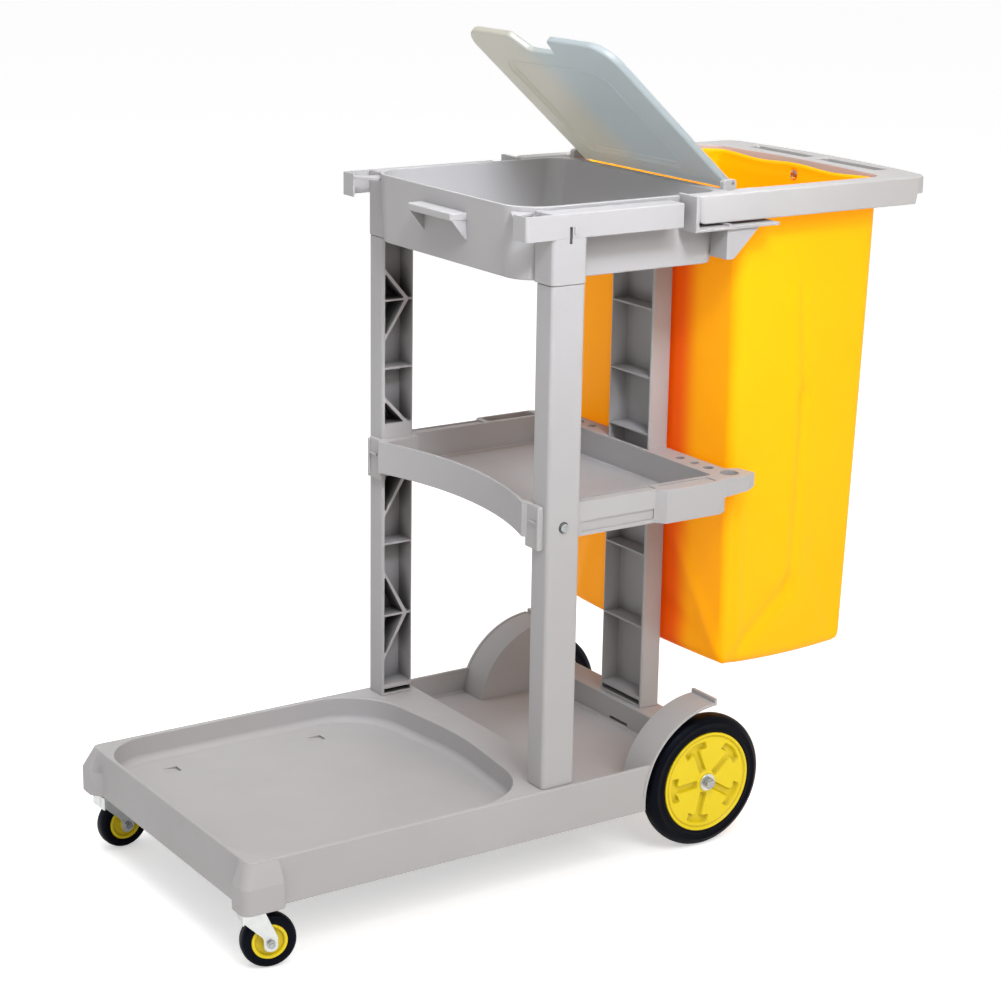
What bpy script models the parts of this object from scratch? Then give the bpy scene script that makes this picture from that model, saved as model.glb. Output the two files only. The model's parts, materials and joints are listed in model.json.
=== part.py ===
"""Housekeeping cart: deck, three posts, shelf, top tray, hinged lid, bag frame, bag, wheels, casters.

Metres, +Z up. +X runs along the cart towards the bag, +Y to the left side, Z = 0 is the floor.
The world origin is under the centre of the cart's box. Driving dimensions along X are measured from
the drawing's own line X = 0, and the last lines move the drawing by CENTRE_X.
"""
import math

import bmesh
import bpy
from mathutils import Matrix, Vector

# ---- driving dimensions, metres ----
SIDE = 0.245            # half width of the deck
DECK_FRONT = -0.553
DECK_REAR = 0.262
SKIRT_LOW = 0.089       # lower edge of the deck's skirt
DECK_TOP = 0.158
FLOOR_TOP = 0.120       # the two recessed floors of the deck
SKIN = 0.004            # wall of the plastic mouldings
GAP = 0.0003            # clearance between pieces that touch

BUMPER_FRONT = -0.567
BUMPER_REAR = -0.502
BUMPER_SIDE = 0.258
BUMPER_TOP = 0.127      # where the bumper starts to slope back to the rim

AXLE_X = 0.217
AXLE_Z = 0.1016
AXLE_R = 0.006
TYRE_R = 0.1016
RIM_R = 0.076
WHEEL_Y = 0.211         # middle of each big tyre
TYRE_HALF = 0.016
ARCH_R = 0.130
ARCH_IN = 0.188         # inner side wall of the wheel arch

POST_X = (-0.0875, -0.033)
POST_Y = (0.1985, 0.239)
REAR_POST_X = (0.223, 0.2575)
REAR_POST_Y = 0.052
POST_FOOT = DECK_TOP + GAP
POST_HEAD = 0.873
RIBS = (0.288, 0.403, 0.676, 0.779)

SHELF_LOW = 0.519
SHELF_TOP = 0.568
SHELF_FLOOR = 0.525
CLIP_LOW = 0.506        # the clips that end the shelf's apron
CLIP_TOP = 0.567
SCREW_X = -0.061        # the screw that holds the shelf to each front post
SCREW_Z = 0.538

TRAY_LOW = POST_HEAD + GAP
TRAY_TOP = 0.973
TRAY_FRONT = -0.112
TRAY_REAR = 0.2415
TRAY_SIDE = 0.203
BAND_SIDE = 0.240        # outer face of the band along each side of the tray
BAND_LOW = 0.935
BAND_TOP = 0.969
EAR_FRONT = -0.131       # each band ends in a hooked ear in front of the tub
EAR_IN = 0.208
EAR_WALL = 0.003

HINGE_X = 0.252
HINGE_Z = 0.981
PIN_R = 0.0025
LID_LENGTH = 0.294
LID_HALF = 0.176
LID_THICK = 0.011
LID_TILT = math.radians(41.7)
LID_HEEL = 0.009         # how far the lid reaches past its hinge line
NOTCH_Y = 0.008

FRAME_LOW = 0.935
FRAME_TOP = 0.975
FRAME_SIDE = 0.230
FRAME_START = 0.163
FRAME_END = 0.603
MOUTH_X = (0.258, 0.534)
MOUTH_Y = 0.200

BAG_TOP = 0.968
BAG_LOW = 0.255
BAG_WALL = 0.002
BAG_SIDE = 0.1965
HOOK_X = 0.395           # the hooks on the side rails
HOOK_Z = 0.950
HOOKS = {                # where each hook starts, and the way it points, in degrees from +X
    "left": (HOOK_X, MOUTH_Y - GAP, -90),
    "right": (HOOK_X, GAP - MOUTH_Y, 90),
    "front": (MOUTH_X[0] + GAP, 0.0, 0),
    "rear": (0.5353, 0.0, 180),
}

CASTER_X = -0.5375      # swivel axis
CASTER_Y = 0.224
CASTER_R = 0.038
CASTER_TRAIL = 0.021
CASTER_TURN = {"left": math.radians(3.0), "right": math.radians(-14.0)}

CENTRE_X = (BUMPER_FRONT + FRAME_END) / 2    # the drawing's X of the middle of the cart's box

GREY = "#B4B5B8"
LIGHT_GREY = "#C4C2C1"


# ---- scene and materials ----
def linear(hex_colour):
    values = [int(hex_colour[i:i + 2], 16) / 255 for i in (1, 3, 5)]
    return [v / 12.92 if v <= 0.04045 else ((v + 0.055) / 1.055) ** 2.4 for v in values]


def material(name, hex_colour, roughness, metallic=0.0, alpha=1.0):
    mat = bpy.data.materials.new(name)
    mat.use_nodes = True
    shader = mat.node_tree.nodes["Principled BSDF"]
    shader.inputs["Base Color"].default_value = (*linear(hex_colour), 1.0)
    shader.inputs["Roughness"].default_value = roughness
    shader.inputs["Metallic"].default_value = metallic
    shader.inputs["Alpha"].default_value = alpha
    return mat


for old in list(bpy.data.objects):
    bpy.data.objects.remove(old, do_unlink=True)

cart = bpy.data.collections.new("housekeeping_cart")
guides = bpy.data.collections.new("guides")
for group in (cart, guides):
    bpy.context.scene.collection.children.link(group)

plastic = material("grey_polypropylene", GREY, 0.55)
pale_plastic = material("pale_polypropylene", LIGHT_GREY, 0.55)
smoke = material("smoke_acrylic", "#A3ABAC", 0.25, alpha=0.6)
vinyl = material("yellow_vinyl", "#FBC114", 0.45)
rubber = material("black_rubber", "#14161C", 0.6)
hub_plastic = material("yellow_polypropylene", "#F8E71C", 0.4)
zinc = material("zinc_plate", "#D4D7D6", 0.3, metallic=1.0)
steel = material("bright_steel", "#C6C8CA", 0.25, metallic=1.0)


# ---- small modelling functions ----
def place(name, mesh, mat, location=(0, 0, 0), guide=False):
    obj = bpy.data.objects.new(name, mesh)
    obj.location = location
    if guide:
        guides.objects.link(obj)
        obj.hide_render = True
        obj.display_type = "WIRE"
    else:
        cart.objects.link(obj)
        mesh.materials.append(mat)
    return obj


def mesh_from(bm, name, smooth=False):
    bmesh.ops.recalc_face_normals(bm, faces=bm.faces)
    mesh = bpy.data.meshes.new(name)
    bm.to_mesh(mesh)
    bm.free()
    if smooth:
        mesh.shade_smooth()
        mesh.set_sharp_from_angle(angle=math.radians(35))
    return mesh


def box(name, low, high, mat=None, bevel=0.0, along=None, segments=3):
    """A box between two corners; bevel rounds all its edges, or those that run along one axis."""
    low, high = Vector(low), Vector(high)
    bm = bmesh.new()
    bmesh.ops.create_cube(bm, size=1.0)
    bmesh.ops.scale(bm, vec=high - low, verts=bm.verts)
    if bevel:
        edges = list(bm.edges)
        if along is not None:
            edges = [e for e in edges if abs((e.verts[1].co - e.verts[0].co).normalized()[along]) > 0.9]
        bmesh.ops.bevel(bm, geom=edges, offset=bevel, segments=segments, affect="EDGES", profile=0.5)
    return place(name, mesh_from(bm, name), mat, (low + high) / 2, guide=mat is None)


def rounded(points, steps=6):
    """A closed outline whose corners (x, y, radius) are turned into arcs."""
    outline = []
    count = len(points)
    for i, (x, y, radius) in enumerate(points):
        here = Vector((x, y))
        if radius <= 0:
            outline.append(here)
            continue
        before = (Vector(points[i - 1][:2]) - here).normalized()
        after = (Vector(points[(i + 1) % count][:2]) - here).normalized()
        half = before.angle(after) / 2
        reach = radius / math.tan(half)
        centre = here + (before + after).normalized() * radius / math.sin(half)
        start = here + before * reach - centre
        sweep = (here + after * reach - centre).angle_signed(start)
        for k in range(steps + 1):
            turn = Matrix.Rotation(sweep * k / steps, 2)
            outline.append(centre + turn @ start)
    return outline


def plate(name, outline, low, high, mat=None, axis="Z"):
    """A flat outline made solid between two heights along one axis."""
    curve = bpy.data.curves.new(name, "CURVE")
    curve.dimensions = "2D"
    curve.fill_mode = "BOTH"
    curve.extrude = (high - low) / 2
    spline = curve.splines.new("POLY")
    spline.points.add(len(outline) - 1)
    for point, (x, y) in zip(spline.points, outline):
        point.co = (x, y, 0, 1)
    spline.use_cyclic_u = True
    sketch = bpy.data.objects.new(name + "_outline", curve)
    guides.objects.link(sketch)
    bpy.context.view_layer.update()
    evaluated = sketch.evaluated_get(bpy.context.evaluated_depsgraph_get())
    mesh = bpy.data.meshes.new_from_object(evaluated)
    bpy.data.objects.remove(sketch, do_unlink=True)
    bm = bmesh.new()
    bm.from_mesh(mesh)
    bmesh.ops.remove_doubles(bm, verts=bm.verts, dist=0.00001)
    if axis == "Y":
        # outline x stays x, outline y becomes z
        bmesh.ops.rotate(bm, matrix=Matrix.Rotation(math.radians(90), 3, "X"), verts=bm.verts)
        offset = (0, (low + high) / 2, 0)
    else:
        offset = (0, 0, (low + high) / 2)
    return place(name, mesh_from(bm, name), mat, offset, guide=mat is None)


def combine(target, others, operation="DIFFERENCE"):
    for other in others:
        modifier = target.modifiers.new(operation.lower() + "_" + other.name, "BOOLEAN")
        modifier.operation = operation
        modifier.solver = "EXACT"
        modifier.object = other
    return target


def cut(target, *others):
    return combine(target, others, "DIFFERENCE")


def join(target, *others):
    return combine(target, others, "UNION")


def turned(name, profile, centre, mat=None, axis="Y", steps=32):
    """A solid turned from (radius, offset) points about one axis through centre."""
    closed = profile[0] == profile[-1]
    points = profile[:-1] if closed else profile
    edges = [(i, i + 1) for i in range(len(points) - 1)]
    if closed:
        edges.append((len(points) - 1, 0))
    mesh = bpy.data.meshes.new(name)
    mesh.from_pydata([(r, 0, h) for r, h in points], edges, [])
    obj = place(name, mesh, mat, centre, guide=mat is None)
    screw = obj.modifiers.new("turn", "SCREW")
    screw.axis = "Z"
    screw.steps = steps
    screw.render_steps = steps
    screw.use_merge_vertices = True
    screw.merge_threshold = 0.00005
    if axis == "Y":
        obj.rotation_euler.x = math.radians(-90)
    return obj


def ring_profile(inner, outer, half, chamfer=0.0):
    """A square-section ring, run down its outer side, for turned()."""
    if not chamfer:
        return [(outer, half), (outer, -half), (inner, -half), (inner, half), (outer, half)]
    return [(outer - chamfer, half), (outer, half - chamfer), (outer, chamfer - half),
            (outer - chamfer, -half), (inner, -half), (inner, half), (outer - chamfer, half)]


def cylinder(name, centre, radius, length, mat=None, axis="Z", segments=32):
    bm = bmesh.new()
    bmesh.ops.create_cone(bm, cap_ends=True, segments=segments, radius1=radius, radius2=radius,
                          depth=length)
    if axis == "Y":
        bmesh.ops.rotate(bm, matrix=Matrix.Rotation(math.radians(90), 3, "X"), verts=bm.verts)
    if axis == "X":
        bmesh.ops.rotate(bm, matrix=Matrix.Rotation(math.radians(90), 3, "Y"), verts=bm.verts)
    return place(name, mesh_from(bm, name, smooth=True), mat, centre, guide=mat is None)


def arc(centre, radius, start, end, steps):
    """Points of an arc, angles in degrees."""
    points = []
    for k in range(steps + 1):
        a = math.radians(start + (end - start) * k / steps)
        points.append(Vector((centre[0] + radius * math.cos(a), centre[1] + radius * math.sin(a))))
    return points


def loft(name, rings, mat=None):
    """A closed solid through rings of equal point counts, each ring a list of 3-D points."""
    bm = bmesh.new()
    loops = [[bm.verts.new(p) for p in ring] for ring in rings]
    count = len(rings[0])
    for lower, upper in zip(loops, loops[1:]):
        for i in range(count):
            j = (i + 1) % count
            bm.faces.new((lower[i], lower[j], upper[j], upper[i]))
    bm.faces.new(loops[0])
    bm.faces.new(loops[-1])
    return place(name, mesh_from(bm, name), mat, guide=mat is None)


def rect(x0, x1, half, radius, steps=6):
    return rounded([(x0, -half, radius), (x1, -half, radius), (x1, half, radius), (x0, half, radius)],
                   steps)


def at_height(outline, z):
    return [(p[0], p[1], z) for p in outline]


# ---- deck ----
def corner_outline(side, front, rear, outer):
    """The plan of a front corner bumper, from the inner line of the caster pad out to its side."""
    points = [(front, 0.224, 0.006), (DECK_FRONT + 0.001, 0.206, 0), (rear, 0.206, 0.002),
              (rear, outer, 0.008), (front, outer, 0.014)]
    return rounded([(x, side * y, r) for x, y, r in points[::side]], 3)


def make_deck():
    outline = rounded([(DECK_FRONT, -SIDE, 0.010), (DECK_REAR, -SIDE, 0.006),
                       (DECK_REAR, SIDE, 0.006), (DECK_FRONT, SIDE, 0.010)], 3)
    deck = plate("base_platform", outline, SKIRT_LOW, DECK_TOP, plastic)
    for side in (-1, 1):
        full = corner_outline(side, BUMPER_FRONT, BUMPER_REAR, BUMPER_SIDE)
        drawn_in = corner_outline(side, DECK_FRONT - 0.001, BUMPER_REAR - 0.003, SIDE + 0.001)
        join(deck, loft(f"bumper_{side}", [at_height(full, SKIRT_LOW + 0.0003),
                                           at_height(full, BUMPER_TOP),
                                           at_height(drawn_in, DECK_TOP - 0.002)]))

    # floors
    cut(deck, plate("front_recess",
                    rounded([(DECK_FRONT + 0.006, -0.237, 0.075), (-0.098, -0.237, 0.105),
                             (-0.070, 0, 0.5), (-0.098, 0.237, 0.105),
                             (DECK_FRONT + 0.006, 0.237, 0.075)], 7),
                    FLOOR_TOP, DECK_TOP + 0.02))
    cut(deck, plate("rear_pan",
                    rounded([(-0.022, -0.239, 0.012), (0.214, -0.239, 0.004), (0.214, 0.239, 0.004),
                             (-0.022, 0.239, 0.012)], 3),
                    FLOOR_TOP, DECK_TOP + 0.02))
    for side in (-1, 1):
        # wheel arch: a hollow drum segment, open below and behind
        arch_low, arch_high = sorted((side * ARCH_IN, side * (SIDE - 0.0004)))
        drum = plate(f"arch_{side}",
                     [(AXLE_X - ARCH_R, SKIRT_LOW + 0.002)]
                     + arc((AXLE_X, AXLE_Z), ARCH_R, 180, 92, 16)
                     + [(AXLE_X - 0.0045, AXLE_Z + ARCH_R + 0.006), (AXLE_X, AXLE_Z + ARCH_R + 0.006),
                        (AXLE_X, SKIRT_LOW + 0.002)],
                     -arch_high, -arch_low, axis="Y")
        drum.location.y = side * (ARCH_IN + SIDE - 0.0004) / 2
        join(deck, drum)
    # hollow underside, with pads left for the caster plates
    cut(deck, plate("underside",
                    rounded([(DECK_FRONT + 0.090, -SIDE + SKIN, 0.004), (0.082, -SIDE + SKIN, 0.004),
                             (0.082, -ARCH_IN + SKIN, 0.004), (DECK_REAR - SKIN, -ARCH_IN + SKIN, 0.004),
                             (DECK_REAR - SKIN, ARCH_IN - SKIN, 0.004), (0.082, ARCH_IN - SKIN, 0.004),
                             (0.082, SIDE - SKIN, 0.004), (DECK_FRONT + 0.090, SIDE - SKIN, 0.004)], 2),
                    SKIRT_LOW - 0.02, FLOOR_TOP - SKIN))
    cut(deck, box("front_underside", (DECK_FRONT + SKIN, -0.180, SKIRT_LOW - 0.02),
                  (DECK_FRONT + 0.0905, 0.180, FLOOR_TOP - SKIN)))
    cut(deck, box("rear_ledge_hollow", (0.222, -0.150, FLOOR_TOP - 0.010), (0.254, 0.150, DECK_TOP - SKIN)))
    cut(deck, box("divider_hollow", (-0.052, -0.170, FLOOR_TOP - 0.010), (-0.027, 0.170, DECK_TOP - SKIN)))
    for side in (-1, 1):
        # caster pocket in each front corner
        pocket = box(f"caster_pocket_{side}", (DECK_FRONT + SKIN, -0.0275, SKIRT_LOW - 0.02),
                     (CASTER_X + 0.0755, 0.0275, 0.1045))
        pocket.location.y = side * 0.2105
        cut(deck, pocket)
        # wheel well
        well_y = side * (ARCH_IN + SKIN + 0.04)
        cut(deck, cylinder(f"well_{side}", (AXLE_X, well_y, AXLE_Z), ARCH_R - SKIN, 0.08, axis="Y",
                           segments=48))
        behind = box(f"well_back_{side}", (AXLE_X, -0.04, 0.05), (DECK_REAR + 0.02, 0.04, 0.30))
        behind.location.y = well_y
        cut(deck, behind)
        # shallow wedge-shaped stops in the bucket floor
        for x in (-0.455, -0.214):
            dimple = box(f"dimple_{side}_{x}", (x - 0.012, -0.008, FLOOR_TOP - 0.0026),
                         (x + 0.012, 0.008, FLOOR_TOP + 0.01))
            dimple.location.y = side * 0.182
            cut(deck, dimple)
    cut(deck, box("rear_slot", (0.2, -0.032, 0.1235), (0.2235, 0.014, 0.1285)))
    cut(deck, cylinder("axle_bore", (AXLE_X, 0, AXLE_Z), AXLE_R + 0.0001, 2 * SIDE, axis="Y"))
    return deck


# ---- posts ----
def make_front_post(side):
    name = "front_post_left" if side > 0 else "front_post_right"
    y0, y1 = sorted((side * POST_Y[0], side * POST_Y[1]))
    post = box(name, (POST_X[0], y0, POST_FOOT), (POST_X[1], y1, POST_HEAD - GAP), plastic,
               bevel=0.006, along=2, segments=3)
    left, right = POST_X[0] + SKIN, POST_X[1] - SKIN
    rib = 0.0028
    slope = 0.045      # how far up the front wall a brace meets it
    reach = 0.0185     # half the depth of the pockets, which start 1 mm outside the open face
    middle_y = side * (POST_Y[0] - 0.001 + reach)
    spans = [(POST_FOOT + 0.016, RIBS[0]), (RIBS[0], RIBS[1]), (RIBS[1], CLIP_LOW + 0.006),
             (SHELF_TOP + 0.022, RIBS[2]), (RIBS[2], RIBS[3]), (RIBS[3], POST_HEAD - 0.003)]
    rises = (1, -1, 1, -1, 1, -1)
    for number, ((low, high), rise) in enumerate(zip(spans, rises)):
        bottom, top = low + rib / 2, high - rib / 2
        # the brace runs from the rear corner on a rib to a point on the front wall
        if rise > 0:
            brace = ((right - 0.010, top), (left, bottom + slope))
        else:
            brace = ((right - 0.010, bottom), (left, top - slope))
        shift = rib * 1.2
        if rise > 0:
            upper = [(left, brace[1][1] + shift), (brace[0][0] - shift, top), (left, top)]
            lower = [(left, bottom), (right, bottom), (right, top), (brace[0][0] + shift, top),
                     (left, brace[1][1] - shift)]
        else:
            upper = [(left, brace[1][1] + shift), (brace[0][0] + shift, bottom), (right, bottom),
                     (right, top), (left, top)]
            lower = [(left, bottom), (brace[0][0] - shift, bottom), (left, brace[1][1] - shift)]
        for part, outline in enumerate((upper, lower)):
            pocket = plate(f"{name}_pocket_{number}_{part}", outline, -reach, reach, axis="Y")
            pocket.location.y = middle_y
            cut(post, pocket)
    foot_slot = box(f"{name}_slot", (left, -reach, POST_FOOT + 0.004), (right, reach, POST_FOOT + 0.011))
    foot_slot.location.y = middle_y
    cut(post, foot_slot)
    # the shelf screw passes through
    cut(post, cylinder(f"{name}_screw_hole", (SCREW_X, side * 0.234, SCREW_Z), 0.0032, 0.03, axis="Y",
                       segments=16))
    return post


def make_rear_post():
    post = box("rear_post", (REAR_POST_X[0], -REAR_POST_Y, POST_FOOT),
               (REAR_POST_X[1], REAR_POST_Y, POST_HEAD - GAP), plastic, bevel=0.003, along=2, segments=2)
    rib = 0.0028
    edges = [POST_FOOT + 0.016, RIBS[0], RIBS[1], SHELF_TOP + 0.022, RIBS[2], RIBS[3], POST_HEAD - 0.003]
    for number, (low, high) in enumerate(zip(edges, edges[1:])):
        cut(post, box(f"rear_pocket_{number}", (REAR_POST_X[0] - 0.005, -REAR_POST_Y + SKIN, low + rib / 2),
                      (REAR_POST_X[1] - SKIN, REAR_POST_Y - SKIN, high - rib / 2)))
    cut(post, box("rear_foot_slot", (REAR_POST_X[0] - 0.005, -REAR_POST_Y + SKIN, POST_FOOT + 0.004),
                  (REAR_POST_X[1] - 0.006, REAR_POST_Y - SKIN, POST_FOOT + 0.012)))
    return post


# ---- middle shelf ----
def make_shelf():
    bow = arc((-0.610, 0), 0.546, -20.6, 20.6, 14)
    left_side = [(-0.0935, 0.198), (-0.0935, 0.2270), (-0.060, 0.2270), (-0.060, 0.2325), (0.100, 0.2325),
                 (0.112, SIDE), (0.207, SIDE), (0.222, 0.2365), (0.262, 0.240), (0.280, 0.230),
                 (0.274, 0.200), (0.2565, 0.190)]
    outline = bow + [Vector(p) for p in left_side] + [Vector((x, -y)) for x, y in reversed(left_side)]
    shelf = plate("middle_shelf", outline, SHELF_LOW, SHELF_TOP, plastic)
    for side in (-1, 1):
        # the apron ends in a clip that stands in front of each post
        y0, y1 = sorted((side * 0.1935, side * 0.2275))
        join(shelf, box(f"clip_{side}", (-0.0936, y0, CLIP_LOW), (POST_X[0] + 0.002, y1, CLIP_TOP)))
        y0, y1 = sorted((side * 0.2235, side * 0.2280))
        join(shelf, box(f"clip_edge_{side}", (-0.0965, y0, CLIP_LOW + 0.001),
                        (POST_X[0] + 0.002, y1, CLIP_TOP - 0.001)))
    inner_bow = arc((-0.610, 0), 0.551, -19.4, 19.4, 12)
    inner_side = [(-0.029, 0.190), (-0.029, 0.2085), (0.217, 0.2085)]
    inner = inner_bow + [Vector(p) for p in inner_side] + [Vector((x, -y)) for x, y in reversed(inner_side)]
    cut(shelf, plate("shelf_pocket", inner, SHELF_FLOOR, SHELF_TOP + 0.03))
    # lighten the rear flange from below and leave a plate that holds tool handles
    cut(shelf, box("flange_underside", (0.221, -0.250, SHELF_LOW - 0.01), (0.300, 0.250, 0.5430)))
    for side in (-1, 1):
        for x, y, r in ((0.2365, 0.111, 0.007), (0.2365, 0.144, 0.007), (0.2375, 0.176, 0.008),
                        (0.2460, 0.2140, 0.0135)):
            cut(shelf, cylinder(f"tool_hole_{side}_{y}", (x, side * y, 0.56), r, 0.06, segments=20))
        post_y0, post_y1 = sorted((side * (POST_Y[0] - GAP), side * (POST_Y[1] + GAP)))
        cut(shelf, box(f"post_way_{side}", (POST_X[0] - GAP, post_y0, 0.45),
                       (POST_X[1] + GAP, post_y1, 0.65)))
    cut(shelf, box("rear_post_way", (REAR_POST_X[0] - GAP, -REAR_POST_Y - GAP, 0.45),
                   (REAR_POST_X[1] + 0.02, REAR_POST_Y + GAP, 0.65)))
    return shelf


# ---- top tray ----
def tub_plan(front, rear, half, radius):
    return rounded([(front, -half, radius), (rear, -half, 0.022), (rear, half, 0.022), (front, half, radius)], 8)


def make_tray():
    tub = loft("top_tray", [at_height(tub_plan(-0.106, 0.218, 0.199, 0.048), TRAY_LOW),
                            at_height(tub_plan(TRAY_FRONT, TRAY_REAR, TRAY_SIDE, 0.052), TRAY_TOP)], plastic)
    # the band that stands proud round the rim at both sides, and its ear
    for side in (-1, 1):
        y0, y1 = sorted((side * 0.1900, side * BAND_SIDE))
        join(tub, box(f"band_{side}", (-0.0940, y0, BAND_LOW), (0.128, y1, BAND_TOP)))
        y0, y1 = sorted((side * (BAND_SIDE - EAR_WALL), side * (BAND_SIDE - 0.0001)))
        join(tub, box(f"ear_side_{side}", (EAR_FRONT + 0.0001, y0, BAND_LOW + 0.0001),
                      (-0.0900, y1, BAND_TOP - 0.0001)))
        y0, y1 = sorted((side * EAR_IN, side * BAND_SIDE))
        join(tub, box(f"ear_front_{side}", (EAR_FRONT, y0, BAND_LOW),
                      (EAR_FRONT + EAR_WALL, y1, BAND_TOP)))
        y0, y1 = sorted((side * 0.193, side * (BAND_SIDE - 0.0005)))
        join(tub, box(f"socket_{side}", (-0.0885, y0, TRAY_LOW + 0.0001), (-0.0320, y1, BAND_TOP - 0.001),
                      bevel=0.006, along=2))
        # cradle that carries the bag frame: an upright lip, a ledge and a gusset under it
        y0, y1 = sorted((side * (TRAY_SIDE - 0.0035), side * 0.242))
        join(tub, box(f"cradle_lip_{side}", (0.1465, y0, 0.9265), (0.1525, y1, 0.9765)))
        join(tub, box(f"cradle_ledge_{side}", (0.1495, y0 + 0.0001, 0.9268), (0.295, y1 - 0.0001, 0.9310)))
        join(tub, box(f"cradle_rib_{side}", (0.205, y0 + 0.0002, 0.9300), (0.209, y1 - 0.0002, 0.9346)))
        gusset = plate(f"gusset_{side}", [(0.206, 0.884), (0.226, 0.884), (0.270, 0.9285), (0.206, 0.9285)],
                       -0.0190, 0.0190, axis="Y")
        gusset.location.y = side * 0.2190
        join(tub, gusset)
        # hinge lugs
        y0, y1 = sorted((side * (LID_HALF + 0.001), side * (LID_HALF + 0.011)))
        join(tub, box(f"lug_{side}", (0.234, y0, 0.9655), (0.2595, y1, 0.9865), bevel=0.004, along=1))
    # rear socket over the rear post
    join(tub, box("rear_socket", (0.2000, -0.0555, TRAY_LOW + 0.0002), (0.2600, 0.0555, 0.933), bevel=0.003,
                  along=2))
    # handle bracket across the front wall
    join(tub, plate("front_handle", rounded([(-0.106, -0.062, 0), (-0.106, 0.056, 0), (-0.1345, 0.053, 0.003),
                                             (-0.1345, -0.055, 0.003)], 3), 0.938, 0.949))
    for y in (-0.058, 0.051):
        web = plate(f"handle_web_{y}", [(-0.107, 0.906), (-0.107, 0.940), (-0.1330, 0.940)], -0.0015, 0.0015,
                    axis="Y")
        web.location.y = y
        join(tub, web)
    # inside of the tub
    cavity = loft("tub_cavity", [at_height(tub_plan(-0.1015, 0.2125, 0.1945, 0.044), TRAY_LOW + SKIN),
                                 at_height(tub_plan(-0.1085, 0.2215, 0.1955, 0.048), TRAY_TOP + 0.001)])
    cut(tub, cavity)
    for side in (-1, 1):
        # hollow behind the band, open below
        y0, y1 = sorted((side * (TRAY_SIDE + 0.001), side * (BAND_SIDE - SKIN)))
        cut(tub, box(f"band_hollow_{side}", (-0.028, y0, BAND_LOW - 0.01), (0.124, y1, BAND_TOP - 0.004)))
    # slots along the left rim
    for x0, x1 in ((-0.050, 0.040), (0.060, 0.080), (0.100, 0.122)):
        cut(tub, box(f"rim_slot_{x0}", (x0, 0.209, TRAY_TOP - 0.012), (x1, 0.221, TRAY_TOP + 0.01)))
    # bore for the hinge rod
    cut(tub, cylinder("lug_bore", (HINGE_X, 0, HINGE_Z), PIN_R + 0.0001, 0.5, axis="Y", segments=24))
    return tub


# ---- lid ----
def make_lid():
    """The lid is drawn flat, hinge line at x = 0 and free edge at -LID_LENGTH, then tilted open."""
    free = -LID_LENGTH
    notch = [(free, NOTCH_Y - 0.046, 0.006), (free + 0.032, NOTCH_Y - 0.036, 0.012),
             (free + 0.032, NOTCH_Y + 0.034, 0.012), (free, NOTCH_Y + 0.046, 0.006)]
    outline = rounded([(LID_HEEL, -LID_HALF, 0.006), (LID_HEEL, LID_HALF, 0.006), (free, LID_HALF, 0.040)]
                      + notch[::-1] + [(free, -LID_HALF, 0.040)], 5)
    lid = plate("lid", outline, -LID_THICK / 2, LID_THICK / 2, smoke)
    barrel = cylinder("lid_barrel", (0, 0, 0), LID_THICK / 2, 2 * LID_HALF, axis="Y", segments=24)
    inner = rounded([(-0.030, -LID_HALF + 0.014, 0.012), (-0.030, LID_HALF - 0.014, 0.012),
                     (free + 0.014, LID_HALF - 0.014, 0.030), (free + 0.014, NOTCH_Y + 0.066, 0.006),
                     (free + 0.046, NOTCH_Y + 0.052, 0.012), (free + 0.046, NOTCH_Y - 0.052, 0.012),
                     (free + 0.014, NOTCH_Y - 0.066, 0.006), (free + 0.014, -LID_HALF + 0.014, 0.030)], 4)
    upper = plate("lid_upper_recess", inner, 0.0010, LID_THICK)
    lower = plate("lid_lower_recess", inner, -LID_THICK, -0.0015)
    bore = cylinder("lid_bore", (0, 0, 0), PIN_R + 0.0001, 0.5, axis="Y", segments=24)
    join(lid, barrel)
    cut(lid, upper, lower, bore)
    for piece in (lid, barrel, upper, lower, bore):
        piece.matrix_world = (Matrix.Translation((HINGE_X, 0, HINGE_Z)) @ Matrix.Rotation(LID_TILT, 4, "Y")
                              @ Matrix.Translation(piece.location))
    return lid


# ---- bag frame and bag ----
def make_bag_frame():
    end = arc((FRAME_END - 1.41, 0), 1.41, -8.6, 8.6, 8)
    left_side = [(0.578, 0.225), (0.562, FRAME_SIDE), (FRAME_START + 0.008, FRAME_SIDE),
                 (FRAME_START, FRAME_SIDE - 0.006), (FRAME_START, 0.2065), (0.243, 0.2065)]
    outline = end + [Vector(p) for p in left_side] + [Vector((x, -y)) for x, y in reversed(left_side)]
    frame = plate("bag_frame", outline, FRAME_LOW, FRAME_TOP, pale_plastic)
    mouth = plate("bag_mouth", rounded([(MOUTH_X[0], -MOUTH_Y, 0.030), (MOUTH_X[1] - 0.010, -MOUTH_Y, 0.030),
                                        (MOUTH_X[1] + 0.004, 0, 1.0), (MOUTH_X[1] - 0.010, MOUTH_Y, 0.030),
                                        (MOUTH_X[0], MOUTH_Y, 0.030)], 5), 0.90, 1.0)
    # the end rail is thinner than the sides, and the crossbar passes under the lid's hinge
    end_step = box("end_step", (0.5560, -0.30, FRAME_LOW - 0.02), (0.640, 0.30, 0.9500))
    hinge_step = box("hinge_step", (0.2200, -0.2000, 0.9620), (0.2700, 0.2000, 1.0))
    hand_left = box("hand_recess_left", (0.553, 0.012, 0.9600), (0.577, 0.150, 1.0), bevel=0.006, along=2)
    hand_right = box("hand_recess_right", (0.553, -0.150, 0.9600), (0.577, -0.012, 1.0), bevel=0.006, along=2)
    socket_room = box("socket_room", (0.2300, -0.0565, 0.90), (0.2605, 0.0565, 0.9334))
    cut(frame, mouth, end_step, hinge_step, hand_left, hand_right, socket_room)
    return frame


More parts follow.
